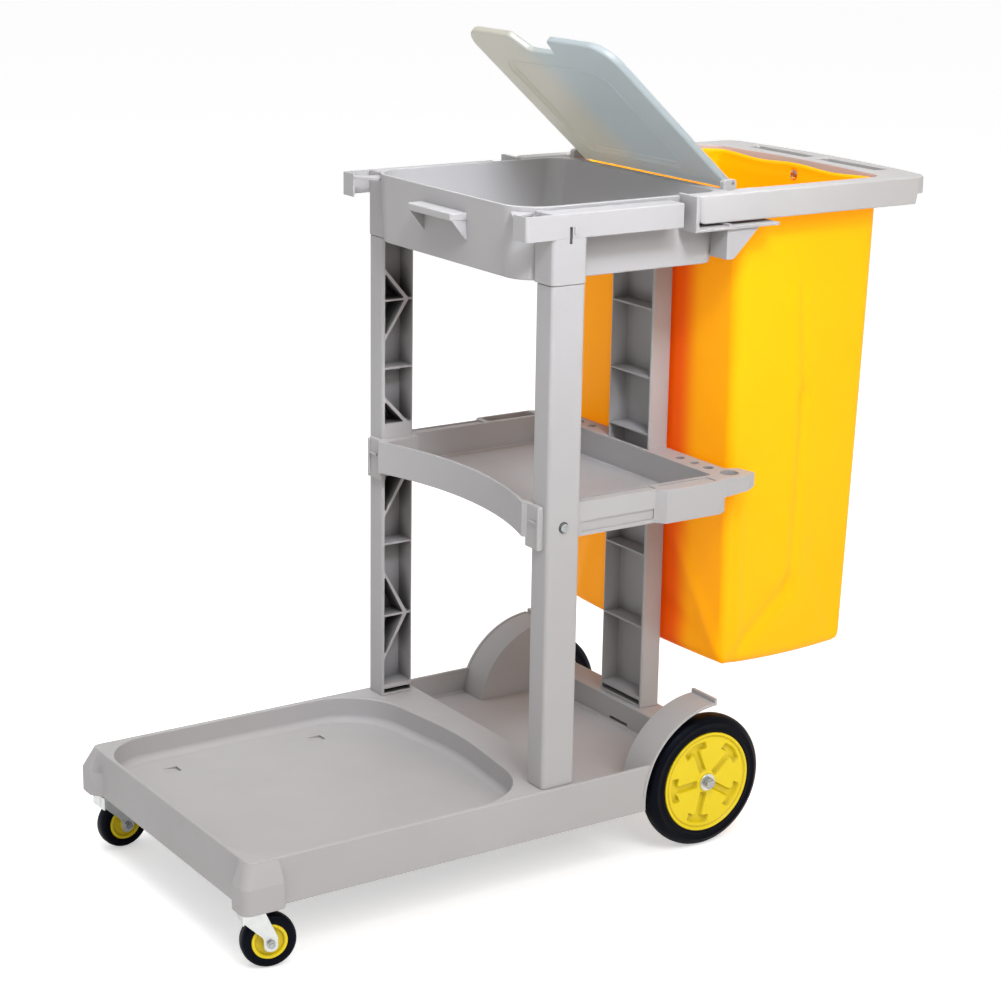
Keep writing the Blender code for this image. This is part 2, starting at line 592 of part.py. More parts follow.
def make_bag():
    # height, front, rear and corner radius of each level, and how far the inside starts above it
    levels = ((BAG_LOW, 0.2630, 0.497, 0.012, BAG_WALL), (0.50, 0.2630, 0.506, 0.016, BAG_WALL),
              (BAG_TOP, 0.2635, 0.526, 0.028, 0.001))
    outside = [at_height(rect(x0, x1, BAG_SIDE, radius, 4), z) for z, x0, x1, radius, rise in levels]
    inside = [at_height(rect(x0 + BAG_WALL, x1 - BAG_WALL, BAG_SIDE - BAG_WALL, radius - BAG_WALL, 4),
                        z + rise) for z, x0, x1, radius, rise in levels]
    outer = loft("bag", outside, vinyl)
    cut(outer, loft("bag_inside", inside))
    for word, (x, y, turn) in HOOKS.items():
        cut(outer, cylinder(f"grommet_hole_{word}", (x, y, HOOK_Z), 0.0050, 0.03, axis="XY"[turn % 180 == 90],
                            segments=20))
    return outer


def make_bag_hooks():
    """Wire hooks on the inner faces of the rails; each passes through a grommet of the bag."""
    for word, (x, y, turn) in HOOKS.items():
        curve = bpy.data.curves.new(f"bag_hook_{word}", "CURVE")
        curve.dimensions = "3D"
        curve.bevel_depth = 0.0015
        curve.bevel_resolution = 2
        curve.use_fill_caps = True
        curve.materials.append(steel)
        spline = curve.splines.new("POLY")
        route = [(0, -0.0020), (0.0107, -0.0020), (0.0132, -0.0005), (0.0137, 0.0060)]
        spline.points.add(len(route) - 1)
        away = Matrix.Rotation(math.radians(turn), 2) @ Vector((1, 0))
        for point, (inwards, rise) in zip(spline.points, route):
            point.co = (x + inwards * away.x, y + inwards * away.y, HOOK_Z + rise, 1)
        cart.objects.link(bpy.data.objects.new(f"bag_hook_{word}", curve))


# ---- wheels ----
def make_wheel(side):
    word = "left" if side > 0 else "right"
    y = side * WHEEL_Y
    tyre_profile = [(TYRE_R - 0.004, TYRE_HALF), (TYRE_R - 0.001, TYRE_HALF - 0.004), (TYRE_R, 0.006),
                    (TYRE_R, -0.006), (TYRE_R - 0.001, 0.004 - TYRE_HALF), (TYRE_R - 0.004, -TYRE_HALF),
                    (RIM_R + GAP, -TYRE_HALF), (RIM_R + GAP, TYRE_HALF), (TYRE_R - 0.004, TYRE_HALF)]
    turned(f"rear_tyre_{word}", tyre_profile, (AXLE_X, y, AXLE_Z), rubber, steps=36)

    # the rim is dished on both faces; its outward face is the shallower dish
    face, bore, lip, boss = TYRE_HALF + 0.001, AXLE_R + 0.0001, RIM_R - 0.005, 0.014
    section = [(RIM_R, face), (RIM_R, -face), (lip, -face), (lip, 0.012 - face), (boss, 0.012 - face),
               (boss, -face), (bore, -face), (bore, face), (boss, face), (boss, face - 0.007),
               (lip, face - 0.007), (lip, face), (RIM_R, face)]
    if side < 0:
        section = [(r, -h) for r, h in reversed(section)]
    rim = turned(f"rear_rim_{word}", section, (AXLE_X, y, AXLE_Z), hub_plastic, steps=36)
    for k in range(5):
        angle = math.radians(88.7 + 72 * k)
        spoke = box(f"spoke_{word}_{k}", (0.0121, -0.0053, -0.0071), (RIM_R - 0.0027, 0.0053, 0.0069))
        spoke.matrix_world = (Matrix.Translation((AXLE_X, y + side * 0.0075, AXLE_Z))
                              @ Matrix.Rotation(-angle, 4, "Y") @ Matrix.Rotation(math.radians(90), 4, "X")
                              @ Matrix.Translation(spoke.location))
        join(rim, spoke)
    washer_y = y + side * (TYRE_HALF + 0.001 + GAP + 0.001)
    turned(f"axle_washer_{word}", ring_profile(AXLE_R + 0.0002, 0.013, 0.001), (AXLE_X, washer_y, AXLE_Z),
           steel, steps=24)
    nut = cylinder(f"axle_cap_nut_{word}", (AXLE_X, washer_y + side * 0.0058, AXLE_Z), 0.0085, 0.009, steel,
                   axis="Y", segments=6)
    cut(nut, cylinder(f"nut_bore_{word}", (AXLE_X, washer_y + side * 0.0018, AXLE_Z), AXLE_R + 0.0002,
                      0.0079, axis="Y"))
    turned(f"axle_sleeve_{word}", ring_profile(AXLE_R + 0.0002, 0.009, 0.0005),
           (AXLE_X, side * 0.1932, AXLE_Z), hub_plastic, steps=24)


def make_axle():
    half = WHEEL_Y + TYRE_HALF + 0.001 + GAP + 0.002 + 0.0045
    return cylinder("wheel_axle", (AXLE_X, 0, AXLE_Z), AXLE_R, 2 * half, steel, axis="Y")


# ---- casters ----
def make_caster(side):
    word = "left" if side > 0 else "right"
    turn = CASTER_TURN[word]
    pivot = Vector((CASTER_X, side * CASTER_Y, 0))
    spin = Matrix.Translation(pivot) @ Matrix.Rotation(turn, 4, "Z")

    # fixed plate, race and pivot bolt
    plate_obj = box(f"caster_plate_{word}", (-0.0105, -0.024, 0.1015), (0.0495, 0.024, 0.1042), zinc,
                    bevel=0.004, along=2, segments=2)
    plate_obj.location += Vector((CASTER_X, side * 0.2115, 0))
    turned(f"caster_race_{word}", ring_profile(0.0046, 0.0108, 0.0062, 0.002),
           (pivot.x, pivot.y, 0.0949), zinc, axis="Z", steps=24)
    cut(plate_obj, cylinder(f"caster_plate_hole_{word}", (pivot.x, pivot.y, 0.10), 0.0045, 0.02, segments=24))
    turned(f"caster_kingpin_{word}", [(0.0, 0.1035), (0.0040, 0.1035), (0.0040, 0.0848), (0.0075, 0.0848),
                                      (0.0075, 0.0800), (0.0, 0.0800)], pivot, steel, axis="Z", steps=24)

    # fork: crown plate with two legs that slant back to the wheel axle
    crown = box(f"caster_fork_{word}", (-0.018, -0.0185, 0.0852), (0.030, 0.0185, 0.0880), zinc, bevel=0.004,
                along=2, segments=2)
    legs = []
    for hand in (-1, 1):
        leg = plate(f"leg_{word}_{hand}",
                    rounded([(-0.016, 0.0878, 0), (0.030, 0.0878, 0), (0.0325, 0.040, 0.006),
                             (0.0270, 0.0265, 0.006), (0.0150, 0.0265, 0.006), (0.0095, 0.040, 0.006)], 3),
                    -0.001, 0.001, axis="Y")
        leg.location.y = hand * 0.0172
        legs.append(leg)
    join(crown, *legs)
    hole = cylinder(f"fork_hole_{word}", (0, 0, 0.0866), 0.0043, 0.02, segments=24)
    axle_hole = cylinder(f"fork_axle_hole_{word}", (CASTER_TRAIL, 0, CASTER_R), 0.0033, 0.06, axis="Y",
                         segments=24)
    cut(crown, hole, axle_hole)

    tyre = turned(f"caster_tyre_{word}",
                  [(CASTER_R - 0.003, 0.0115), (CASTER_R, 0.0075), (CASTER_R, -0.0075),
                   (CASTER_R - 0.003, -0.0115), (0.0245 + GAP, -0.0115), (0.0245 + GAP, 0.0115),
                   (CASTER_R - 0.003, 0.0115)],
                  (CASTER_TRAIL, 0, CASTER_R), rubber, steps=24)
    hub = turned(f"caster_hub_{word}",
                 [(0.0245, 0.0112), (0.0245, -0.0112), (0.020, -0.007), (0.010, -0.007), (0.009, -0.0145),
                  (0.0034, -0.0145), (0.0034, 0.0145), (0.009, 0.0145), (0.010, 0.007), (0.020, 0.007),
                  (0.0245, 0.0112)],
                 (CASTER_TRAIL, 0, CASTER_R), hub_plastic, steps=24)
    bolt = turned(f"caster_axle_{word}",
                  [(0.0, 0.0215), (0.0055, 0.0215), (0.0055, 0.0186), (0.0032, 0.0186), (0.0032, -0.0235),
                   (0.0, -0.0235)], (CASTER_TRAIL, 0, CASTER_R), steel, steps=24)
    nut = cylinder(f"caster_axle_nut_{word}", (CASTER_TRAIL, -0.0206, CASTER_R), 0.0060, 0.0040, steel,
                   axis="Y", segments=6)
    nut_bore = cylinder(f"caster_nut_bore_{word}", (CASTER_TRAIL, -0.0206, CASTER_R), 0.0034, 0.02,
                        axis="Y", segments=24)
    cut(nut, nut_bore)
    bpy.context.view_layer.update()
    for obj in (crown, *legs, hole, axle_hole, tyre, hub, bolt, nut, nut_bore):
        obj.matrix_world = spin @ obj.matrix_world


# ---- small fixings ----
def make_screws():
    """Pan-head screws that fasten the shelf to the front posts."""
    for side in (-1, 1):
        word = "left" if side > 0 else "right"
        screw = cylinder(f"shelf_screw_{word}", (SCREW_X, side * 0.2408, SCREW_Z), 0.0062, 0.0030, steel,
                         axis="Y", segments=20)
        join(screw, cylinder(f"screw_shank_{word}", (SCREW_X, side * 0.2345, SCREW_Z), 0.0028, 0.0120,
                             axis="Y", segments=16))
        for turn in (45, 135):
            bar = box(f"cross_{word}_{turn}", (-0.0045, -0.001, -0.0007), (0.0045, 0.001, 0.0007))
            bar.matrix_world = (Matrix.Translation((SCREW_X, side * 0.2423, SCREW_Z))
                                @ Matrix.Rotation(math.radians(turn), 4, "Y"))
            cut(screw, bar)


def make_hinge_rod():
    return cylinder("lid_hinge_rod", (HINGE_X, 0, HINGE_Z), PIN_R, 2 * (LID_HALF + 0.010), steel, axis="Y",
                    segments=24)


make_deck()
for hand_side in (-1, 1):
    make_front_post(hand_side)
    make_wheel(hand_side)
    make_caster(hand_side)
make_rear_post()
make_shelf()
make_tray()
make_lid()
make_hinge_rod()
make_bag_frame()
make_bag()
make_bag_hooks()
make_axle()
make_screws()

# the cart is drawn from the line X = 0, and one empty carries it to the middle of its box
middle = bpy.data.objects.new("cart_middle", None)
middle.location.x = -CENTRE_X
guides.objects.link(middle)
for piece in list(cart.objects) + list(guides.objects):
    if piece is not middle:
        piece.parent = middle
bpy.context.view_layer.update()
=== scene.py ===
import json
import math

import bmesh
import bpy
from mathutils import Matrix, Vector

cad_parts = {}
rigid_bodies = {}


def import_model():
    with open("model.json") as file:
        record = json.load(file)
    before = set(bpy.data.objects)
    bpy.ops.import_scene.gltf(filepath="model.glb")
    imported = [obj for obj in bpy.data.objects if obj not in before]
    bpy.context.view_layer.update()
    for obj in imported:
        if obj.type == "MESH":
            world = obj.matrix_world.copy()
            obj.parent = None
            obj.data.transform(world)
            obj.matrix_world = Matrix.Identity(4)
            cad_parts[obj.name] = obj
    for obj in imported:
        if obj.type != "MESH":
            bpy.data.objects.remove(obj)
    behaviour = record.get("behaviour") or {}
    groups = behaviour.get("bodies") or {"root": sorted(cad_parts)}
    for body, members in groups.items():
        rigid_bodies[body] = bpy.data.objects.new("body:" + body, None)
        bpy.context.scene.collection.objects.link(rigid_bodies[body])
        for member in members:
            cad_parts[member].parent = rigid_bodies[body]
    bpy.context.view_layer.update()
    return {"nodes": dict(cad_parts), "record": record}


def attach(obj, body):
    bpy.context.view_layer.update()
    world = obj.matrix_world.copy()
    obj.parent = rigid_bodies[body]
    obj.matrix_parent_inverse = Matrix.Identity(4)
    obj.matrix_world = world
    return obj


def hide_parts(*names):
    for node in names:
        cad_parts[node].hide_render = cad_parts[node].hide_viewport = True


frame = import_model()
nodes = frame["nodes"]
sides = {"left": 1, "right": -1}


def toLinear(hexColour):
    values = [int(hexColour[i:i + 2], 16) / 255 for i in (1, 3, 5)]
    return (*[v / 12.92 if v <= 0.04045 else ((v + 0.055) / 1.055) ** 2.4 for v in values], 1.0)


def addNode(tree, kind, settings=None, links=None):
    # settings fill sockets or properties by name, links join a socket to another node's output
    node = tree.nodes.new(kind)
    for key, value in (settings or {}).items():
        if isinstance(key, int) or key in node.inputs:
            node.inputs[key].default_value = value
        else:
            setattr(node, key, value)
    for key, source in (links or {}).items():
        tree.links.new(source, node.inputs[key])
    return node


def newMaterial(name, shaderSettings):
    material = bpy.data.materials.new(name)
    material.use_nodes = True
    tree = material.node_tree
    shader = tree.nodes["Principled BSDF"]
    for key, value in shaderSettings.items():
        shader.inputs[key].default_value = value
    place = addNode(tree, "ShaderNodeTexCoord").outputs["Object"]
    return material, tree, shader, place


def addGrain(tree, shader, place, grainMm, strength, depthMm, detail=2.0):
    # a fine all-over surface grain, as bump
    grain = addNode(tree, "ShaderNodeTexNoise", {"Scale": 1000 / grainMm, "Detail": detail, "Roughness": 0.6},
                    {"Vector": place})
    bump = addNode(tree, "ShaderNodeBump", {"Strength": strength, "Distance": depthMm / 1000},
                   {"Height": grain.outputs["Fac"]})
    tree.links.new(bump.outputs["Normal"], shader.inputs["Normal"])
    return bump


def addColourDrift(tree, shader, place, darkHex, lightHex, sizeMm, detail=3.0):
    # a slow drift between two close colours
    drift = addNode(tree, "ShaderNodeTexNoise", {"Scale": 1000 / sizeMm, "Detail": detail}, {"Vector": place})
    mix = addNode(tree, "ShaderNodeMix", {"data_type": "RGBA", 6: toLinear(darkHex), 7: toLinear(lightHex)},
                  {"Factor": drift.outputs["Fac"]})
    tree.links.new(mix.outputs[2], shader.inputs["Base Color"])
    return mix


def addRoughnessDrift(tree, shader, place, low, high, sizeMm):
    drift = addNode(tree, "ShaderNodeTexNoise", {"Scale": 1000 / sizeMm, "Detail": 4.0}, {"Vector": place})
    spread = addNode(tree, "ShaderNodeMapRange", {"From Min": 0.3, "From Max": 0.7, "To Min": low,
                                                  "To Max": high},
                     {"Value": drift.outputs["Fac"]})
    tree.links.new(spread.outputs["Result"], shader.inputs["Roughness"])


def addPaintedCreaseShade(tree, shader, base, reachMm, darkest, openAt=0.60):
    # painted shade: thin ribbed pockets and deep corners are drawn darker than open faces, by darkening the base
    # colour with ambient occlusion
    occlusion = addNode(tree, "ShaderNodeAmbientOcclusion", {"samples": 6, "only_local": True,
                                                             "Distance": reachMm / 1000})
    shade = addNode(tree, "ShaderNodeMapRange", {"From Min": 0.10, "From Max": openAt, "To Min": darkest,
                                                 "To Max": 1.0},
                    {"Value": occlusion.outputs["AO"]})
    shaded = addNode(tree, "ShaderNodeMix", {"data_type": "RGBA", "blend_type": "MULTIPLY", 0: 1.0},
                     {6: base.outputs[2], 7: shade.outputs["Result"]})
    tree.links.new(shaded.outputs[2], shader.inputs["Base Color"])


def mouldedPolypropylene(name, darkHex, lightHex, paintedShadeReachMm=34, paintedShadeDarkest=0.42, openAt=0.60):
    # injection moulded polypropylene: matt, a fine spark-eroded grain, a faint flow mottle, and painted shade in
    # pockets and deep corners
    material, tree, shader, place = newMaterial(name, {"IOR": 1.49, "Specular IOR Level": 0.4})
    base = addColourDrift(tree, shader, place, darkHex, lightHex, 130)
    # painted shade: the base colour darkens in pockets and deep corners
    addPaintedCreaseShade(tree, shader, base, paintedShadeReachMm, paintedShadeDarkest, openAt)
    addRoughnessDrift(tree, shader, place, 0.46, 0.58, 45)
    addGrain(tree, shader, place, 2.2, 0.10, 0.25)    # real grain is under 1 mm, drawn coarser to show
    return material


def smokedPolycarbonate():
    # translucent smoky panel with a satin face: the glow is painted light that stands for light passing through,
    # and the two sides differ a little in tint, painted to imitate that light
    material, tree, shader, place = newMaterial(
        "smoked_polycarbonate", {"IOR": 1.45, "Transmission Weight": 0.60, "Roughness": 0.36,
                                 "Specular IOR Level": 0.4, "Emission Strength": 0.21})
    # painted light: a warmer tint towards one side of the panel, in both base colour and glow
    across = addNode(tree, "ShaderNodeSeparateXYZ", None, {"Vector": place})
    paintedWarmSide = addNode(tree, "ShaderNodeMapRange", {"From Min": 0.00, "From Max": 0.07},
                       {"Value": across.outputs["Y"]})
    tint = addNode(tree, "ShaderNodeMix", {"data_type": "RGBA", 6: toLinear("#AEB7B9"),
                                           7: toLinear("#BBB9AE")},
                   {"Factor": paintedWarmSide.outputs["Result"]})
    tree.links.new(tint.outputs[2], shader.inputs["Base Color"])
    tree.links.new(tint.outputs[2], shader.inputs["Emission Color"])
    addGrain(tree, shader, place, 3.0, 0.05, 0.2)
    return material


def coatedVinyl():
    # woven polyester coated with yellow PVC: soft sheen and a faint weave, and the glow stands for light
    # that passes through the cloth
    material, tree, shader, place = newMaterial(
        "coated_vinyl", {"IOR": 1.45, "Roughness": 0.46, "Specular IOR Level": 0.18,
                         "Emission Strength": 0.36})
    yellow = addColourDrift(tree, shader, place, "#F0AF00", "#F6B600", 110)
    # painted shade and through-light: a soft red patch on the face towards the cart, on both sides of the rear
    # post, where the post shades the cloth and the light through it looks redder
    across = addNode(tree, "ShaderNodeSeparateXYZ", None, {"Vector": place})
    distance = addNode(tree, "ShaderNodeMath", {"operation": "ABSOLUTE"}, {0: across.outputs["Y"]})
    paintedShadeBesidePost = addNode(tree, "ShaderNodeMapRange", {"interpolation_type": "SMOOTHSTEP", "From Min": 0.066,
                                                      "From Max": 0.118, "To Min": 1.0, "To Max": 0.0},
                         {"Value": distance.outputs["Value"]})
    onFront = addNode(tree, "ShaderNodeMapRange", {"From Min": 0.252, "From Max": 0.262, "To Min": 1.0,
                                                   "To Max": 0.0},
                      {"Value": across.outputs["X"]})
    both = addNode(tree, "ShaderNodeMath", {"operation": "MULTIPLY"},
                   {0: paintedShadeBesidePost.outputs["Result"], 1: onFront.outputs["Result"]})
    paintedShadeAmount = addNode(tree, "ShaderNodeMath", {"operation": "MULTIPLY", 1: 0.85}, {0: both.outputs["Value"]})
    # the painted red shade goes into both the base colour and the glow
    for base, red, socket in ((yellow.outputs[2], "#DE3A06", "Base Color"),
                              (None, "#D8380A", "Emission Color")):
        mix = addNode(tree, "ShaderNodeMix", {"data_type": "RGBA", 6: toLinear("#FF7600"), 7: toLinear(red)},
                      {"Factor": paintedShadeAmount.outputs["Value"]})
        if base:
            tree.links.new(base, mix.inputs[6])
        tree.links.new(mix.outputs[2], shader.inputs[socket])
    cloth = addNode(tree, "ShaderNodeUVMap", {"uv_map": "bagCloth"}).outputs["UV"]
    threads = [addNode(tree, "ShaderNodeTexWave", {"wave_type": "BANDS", "bands_direction": axis,
                                                   "Scale": 1000 / 2.4 / 20, "Distortion": 0.4},
                       {"Vector": cloth})
               for axis in "XY"]
    weave = addNode(tree, "ShaderNodeMath", {"operation": "MULTIPLY"},
                    {0: threads[0].outputs["Fac"], 1: threads[1].outputs["Fac"]})
    threadBump = addNode(tree, "ShaderNodeBump", {"Strength": 0.06, "Distance": 0.0002},
                         {"Height": weave.outputs["Value"]})
    crumple = addNode(tree, "ShaderNodeTexNoise", {"Scale": 1000 / 60, "Detail": 3.0, "Roughness": 0.5},
                      {"Vector": place})
    crumpleBump = addNode(tree, "ShaderNodeBump", {"Strength": 0.22, "Distance": 0.003},
                          {"Height": crumple.outputs["Fac"], "Normal": threadBump.outputs["Normal"]})
    tree.links.new(crumpleBump.outputs["Normal"], shader.inputs["Normal"])
    return material


def yellowPolypropylene():
    # wheel centres: self-coloured polypropylene, semi-gloss from a polished mould, with painted shade darkening
    # the channels in the face
    material, tree, shader, place = newMaterial("yellow_polypropylene",
                                                {"IOR": 1.49, "Specular IOR Level": 0.4})
    base = addColourDrift(tree, shader, place, "#E2C80A", "#EBD110", 40)
    # painted shade: the channels in the wheel face are drawn darker
    addPaintedCreaseShade(tree, shader, base, 14, 0.30, 0.95)
    addRoughnessDrift(tree, shader, place, 0.34, 0.44, 25)
    addGrain(tree, shader, place, 1.5, 0.05, 0.1)
    return material


def blackRubber():
    # moulded tyre rubber: near black, slightly bluish where the light grazes it
    material, tree, shader, place = newMaterial("black_rubber", {"IOR": 1.5, "Specular IOR Level": 0.14,
                                                                 "Specular Tint": toLinear("#C4D0FF")})
    addColourDrift(tree, shader, place, "#020203", "#050507", 30)
    addRoughnessDrift(tree, shader, place, 0.36, 0.50, 18)
    addGrain(tree, shader, place, 1.6, 0.12, 0.15)
    return material


def zincPlate():
    # pressed steel, bright zinc plated: a cloudy spangle and a soft gloss
    material, tree, shader, place = newMaterial("zinc_plate", {"Metallic": 1.0})
    addColourDrift(tree, shader, place, "#D2D5D4", "#ECEEED", 9)
    addRoughnessDrift(tree, shader, place, 0.28, 0.46, 7)
    addGrain(tree, shader, place, 1.2, 0.06, 0.1)
    return material


def brightSteel():
    # turned and rolled steel fixings
    material, tree, shader, place = newMaterial("bright_steel", {"Metallic": 1.0})
    addColourDrift(tree, shader, place, "#A9ACAE", "#BDC0C2", 6)
    addRoughnessDrift(tree, shader, place, 0.18, 0.32, 4)
    addGrain(tree, shader, place, 0.8, 0.05, 0.05)
    return material


deckPlastic = mouldedPolypropylene("grey_polypropylene", "#A5A3A3", "#ADABAB")
# the posts' ribbed bays get a much deeper painted shade, nearly black deep inside
postPlastic = mouldedPolypropylene("ribbed_polypropylene", "#A5A3A3", "#ADABAB", 40, 0.10, 0.72)
railPlastic = mouldedPolypropylene("pale_polypropylene", "#AFADAC", "#B7B5B4")
lidPlastic = smokedPolycarbonate()
bagVinyl = coatedVinyl()
hubPlastic = yellowPolypropylene()
tyreRubber = blackRubber()
zincSteel = zincPlate()
steel = brightSteel()
print("materials made")


# places along X are measured from the drawing's line X = 0, this far in front of the box's middle
middleX = 0.018


def finishPiece(bm, name, material, body, replaced=(), sharpDegrees=32):
    bmesh.ops.translate(bm, vec=(-middleX, 0, 0), verts=bm.verts)
    mesh = bpy.data.meshes.new(name)
    bm.to_mesh(mesh)
    bm.free()
    mesh.materials.append(material)
    mesh.shade_smooth()
    mesh.set_sharp_from_angle(angle=math.radians(sharpDegrees))
    piece = bpy.data.objects.new(name, mesh)
    bpy.context.scene.collection.objects.link(piece)
    weighted = piece.modifiers.new("flatFacesStayFlat", "WEIGHTED_NORMAL")
    weighted.keep_sharp = True
    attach(piece, body)
    if replaced:
        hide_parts(*replaced)
    return piece


def arcPoints(cx, cy, radius, start, end, steps):
    turns = [math.radians(start + (end - start) * k / steps) for k in range(steps + 1)]
    return [(cx + radius * math.cos(turn), cy + radius * math.sin(turn)) for turn in turns]


def roundedOutline(corners, steps=6):
    # turns the corners (x, y, radius) of a closed outline into arcs
    outline = []
    for i, (x, y, radius) in enumerate(corners):
        here = Vector((x, y))
        if radius <= 0:
            outline.append((x, y))
            continue
        before = (Vector(corners[i - 1][:2]) - here).normalized()
        after = (Vector(corners[(i + 1) % len(corners)][:2]) - here).normalized()
        half = before.angle(after) / 2
        centre = here + (before + after).normalized() * radius / math.sin(half)
        start = here + before * radius / math.tan(half) - centre
        sweep = (here + after * radius / math.tan(half) - centre).angle_signed(start)
        outline += [tuple(centre + Matrix.Rotation(sweep * k / steps, 2) @ start) for k in range(steps + 1)]
    return outline


def rectangle(x0, x1, y0, y1, radius, steps=6):
    return roundedOutline([(x0, y0, radius), (x1, y0, radius), (x1, y1, radius), (x0, y1, radius)], steps)


def grownOutline(outline, distance):
    # the outline moved outwards, or inwards if distance is negative; every corner keeps its point
    area = sum(a[0] * b[1] - b[0] * a[1] for a, b in zip(outline, outline[1:] + outline[:1]))
    turn = 1 if area > 0 else -1
    grown = []
    for i, point in enumerate(outline):
        here = Vector(point)
        before = (here - Vector(outline[i - 1])).normalized()
        after = (Vector(outline[(i + 1) % len(outline)]) - here).normalized()
        sideways = Vector((before.y + after.y, -before.x - after.x)).normalized() * turn
        reach = distance / max(0.5, sideways.dot(Vector((after.y, -after.x)) * turn))
        grown.append(tuple(here + sideways * reach))
    return grown


def raised(levels):
    # a closed solid through outlines of equal point counts, each extruded to its own height
    bm = bmesh.new()
    (outline, z), *rest = levels
    floor = top = bm.faces.new([bm.verts.new((x, y, z)) for x, y in outline])
    for outline, z in rest:
        made = bmesh.ops.extrude_face_region(bm, geom=[top])["geom"]
        if top is not floor:
            bmesh.ops.delete(bm, geom=[top], context="FACES_ONLY")
        top = next(g for g in made if isinstance(g, bmesh.types.BMFace))
        for v, (x, y) in zip(top.verts, outline):
            v.co = (x, y, z)
    bmesh.ops.recalc_face_normals(bm, faces=bm.faces)
    return bm


def slab(outline, low, high, rim=0.0, rimSteps=3, lowRim=None):
    # an extruded outline with rounded upper and lower rims
    lowRim = rim if lowRim is None else lowRim
    levels = []
    turns = [math.radians(90 * k / rimSteps) for k in range(rimSteps + 1)]
    for end, radius, up in ((low, lowRim, 1), (high, rim, -1)):
        bend = [(outline, end)]
        if radius:
            bend = [(grownOutline(outline, -radius * (1 - math.sin(t))), end + up * radius * (1 - math.cos(t)))
                    for t in turns]
        levels += bend if up > 0 else bend[::-1]
    return raised(levels)


def block(low, high, corner=0.0, rim=0.0, along="Z", steps=4):
    # a box with rounded corners along one axis and rounded rims across it
    x, y, z = zip(low, high)
    if along == "Z":
        return slab(rectangle(*x, *y, corner, steps), *z, rim)
    if along == "Y":
        return turnedUp(slab(rectangle(*x, *z, corner, steps), -y[1], -y[0], rim))
    bm = slab(rectangle(*z, *y, corner, steps), *x, rim)
    bmesh.ops.rotate(bm, matrix=Matrix(((0, 0, 1), (0, 1, 0), (-1, 0, 0))), verts=bm.verts)
    bmesh.ops.scale(bm, vec=(1, 1, -1), verts=bm.verts)
    bmesh.ops.recalc_face_normals(bm, faces=bm.faces)
    return bm


def turnedUp(bm):
    # an outline drawn as (x, z), with heights along -Y, stands up
    bmesh.ops.rotate(bm, matrix=Matrix.Rotation(math.radians(90), 3, "X"), verts=bm.verts)
    return bm


def upright(outline, y0, y1, rim=0.0, rimSteps=2):
    # a plate with the outline (x, z), from y0 to y1
    return turnedUp(slab(outline, -max(y0, y1), -min(y0, y1), rim, rimSteps))


def acrossSide(hand, inner, outer):
    # lowest and highest Y of a thing that lies between two distances from the middle, on one side of the cart
    return sorted((hand * inner, hand * outer))


def roundBar(centre, radius, length, along="Z", segments=32):
    bm = bmesh.new()
    bmesh.ops.create_cone(bm, cap_ends=True, segments=segments, radius1=radius, radius2=radius, depth=length)
    if along == "Y":
        bmesh.ops.rotate(bm, matrix=Matrix.Rotation(math.radians(90), 3, "X"), verts=bm.verts)
    bmesh.ops.translate(bm, vec=centre, verts=bm.verts)
    return bm


def turned(profile, closed=True, segments=64):
    # spins a profile of (radius, height) once round the upright axis
    bm = bmesh.new()
    verts = [bm.verts.new((radius, 0, height)) for radius, height in profile]
    pairs = list(zip(verts, verts[1:])) + ([(verts[-1], verts[0])] if closed else [])
    edges = [bm.edges.new(pair) for pair in pairs]
    bmesh.ops.spin(bm, geom=verts + edges, cent=(0, 0, 0), axis=(0, 0, 1), angle=math.radians(360),
                   steps=segments,
                   use_merge=True)
    bmesh.ops.remove_doubles(bm, verts=bm.verts, dist=0.000005)
    bmesh.ops.recalc_face_normals(bm, faces=bm.faces)
    return bm


def facing(bm, hand, centre):
    # turns a part drawn with its outer face up so that it faces out of the cart's side, and puts it in place
    turnedUp(bm)
    if hand > 0:
        bmesh.ops.rotate(bm, matrix=Matrix.Rotation(math.radians(180), 3, "Z"), verts=bm.verts)
    bmesh.ops.translate(bm, vec=centre, verts=bm.verts)
    return bm


def pocket(outline, floor, top, fillet=0.004, rim=0.0015, taper=0.0):
    # a cutter for a moulded pocket: filleted floor, drawn walls, and a rounded rim at the surface
    levels = []
    for k in range(5):
        t = math.radians(90 * k / 4)
        levels.append((grownOutline(outline, -taper - fillet * (1 - math.sin(t))),
                       floor + fillet * (1 - math.cos(t))))
    for k in range(4):
        t = math.radians(90 * k / 3)
        levels.append((grownOutline(outline, rim * (1 - math.cos(t))), top - rim * (1 - math.sin(t))))
    levels.append((grownOutline(outline, rim * 1.2), top + 0.01))
    return raised(levels)


def asObject(bm, name):
    mesh = bpy.data.meshes.new(name)
    bm.to_mesh(mesh)
    bm.free()
    return bpy.data.objects.new(name, mesh)


def mould(solid, added=(), removed=()):
    # welds the added solids to the first one and cuts the removed ones out of it
    shop = bpy.data.collections.new("workshop")
    bpy.context.scene.collection.children.link(shop)
    host = asObject(solid, "host")
    shop.objects.link(host)
    for tools, operation in ((added, "UNION"), (removed, "DIFFERENCE")):
        for number, tool in enumerate(tools):
            cutter = asObject(tool, f"tool_{number}")
            shop.objects.link(cutter)
            step = host.modifiers.new(cutter.name, "BOOLEAN")
            step.operation = operation
            step.solver = "EXACT"
            step.object = cutter
    bpy.context.view_layer.update()
    evaluated = host.evaluated_get(bpy.context.evaluated_depsgraph_get())
    bm = bmesh.new()
    bm.from_mesh(evaluated.to_mesh())
    evaluated.to_mesh_clear()
    for obj in list(shop.objects):
        bpy.data.objects.remove(obj, do_unlink=True)
    bpy.data.collections.remove(shop)
    bmesh.ops.remove_doubles(bm, verts=bm.verts, dist=0.00002)
    return bm


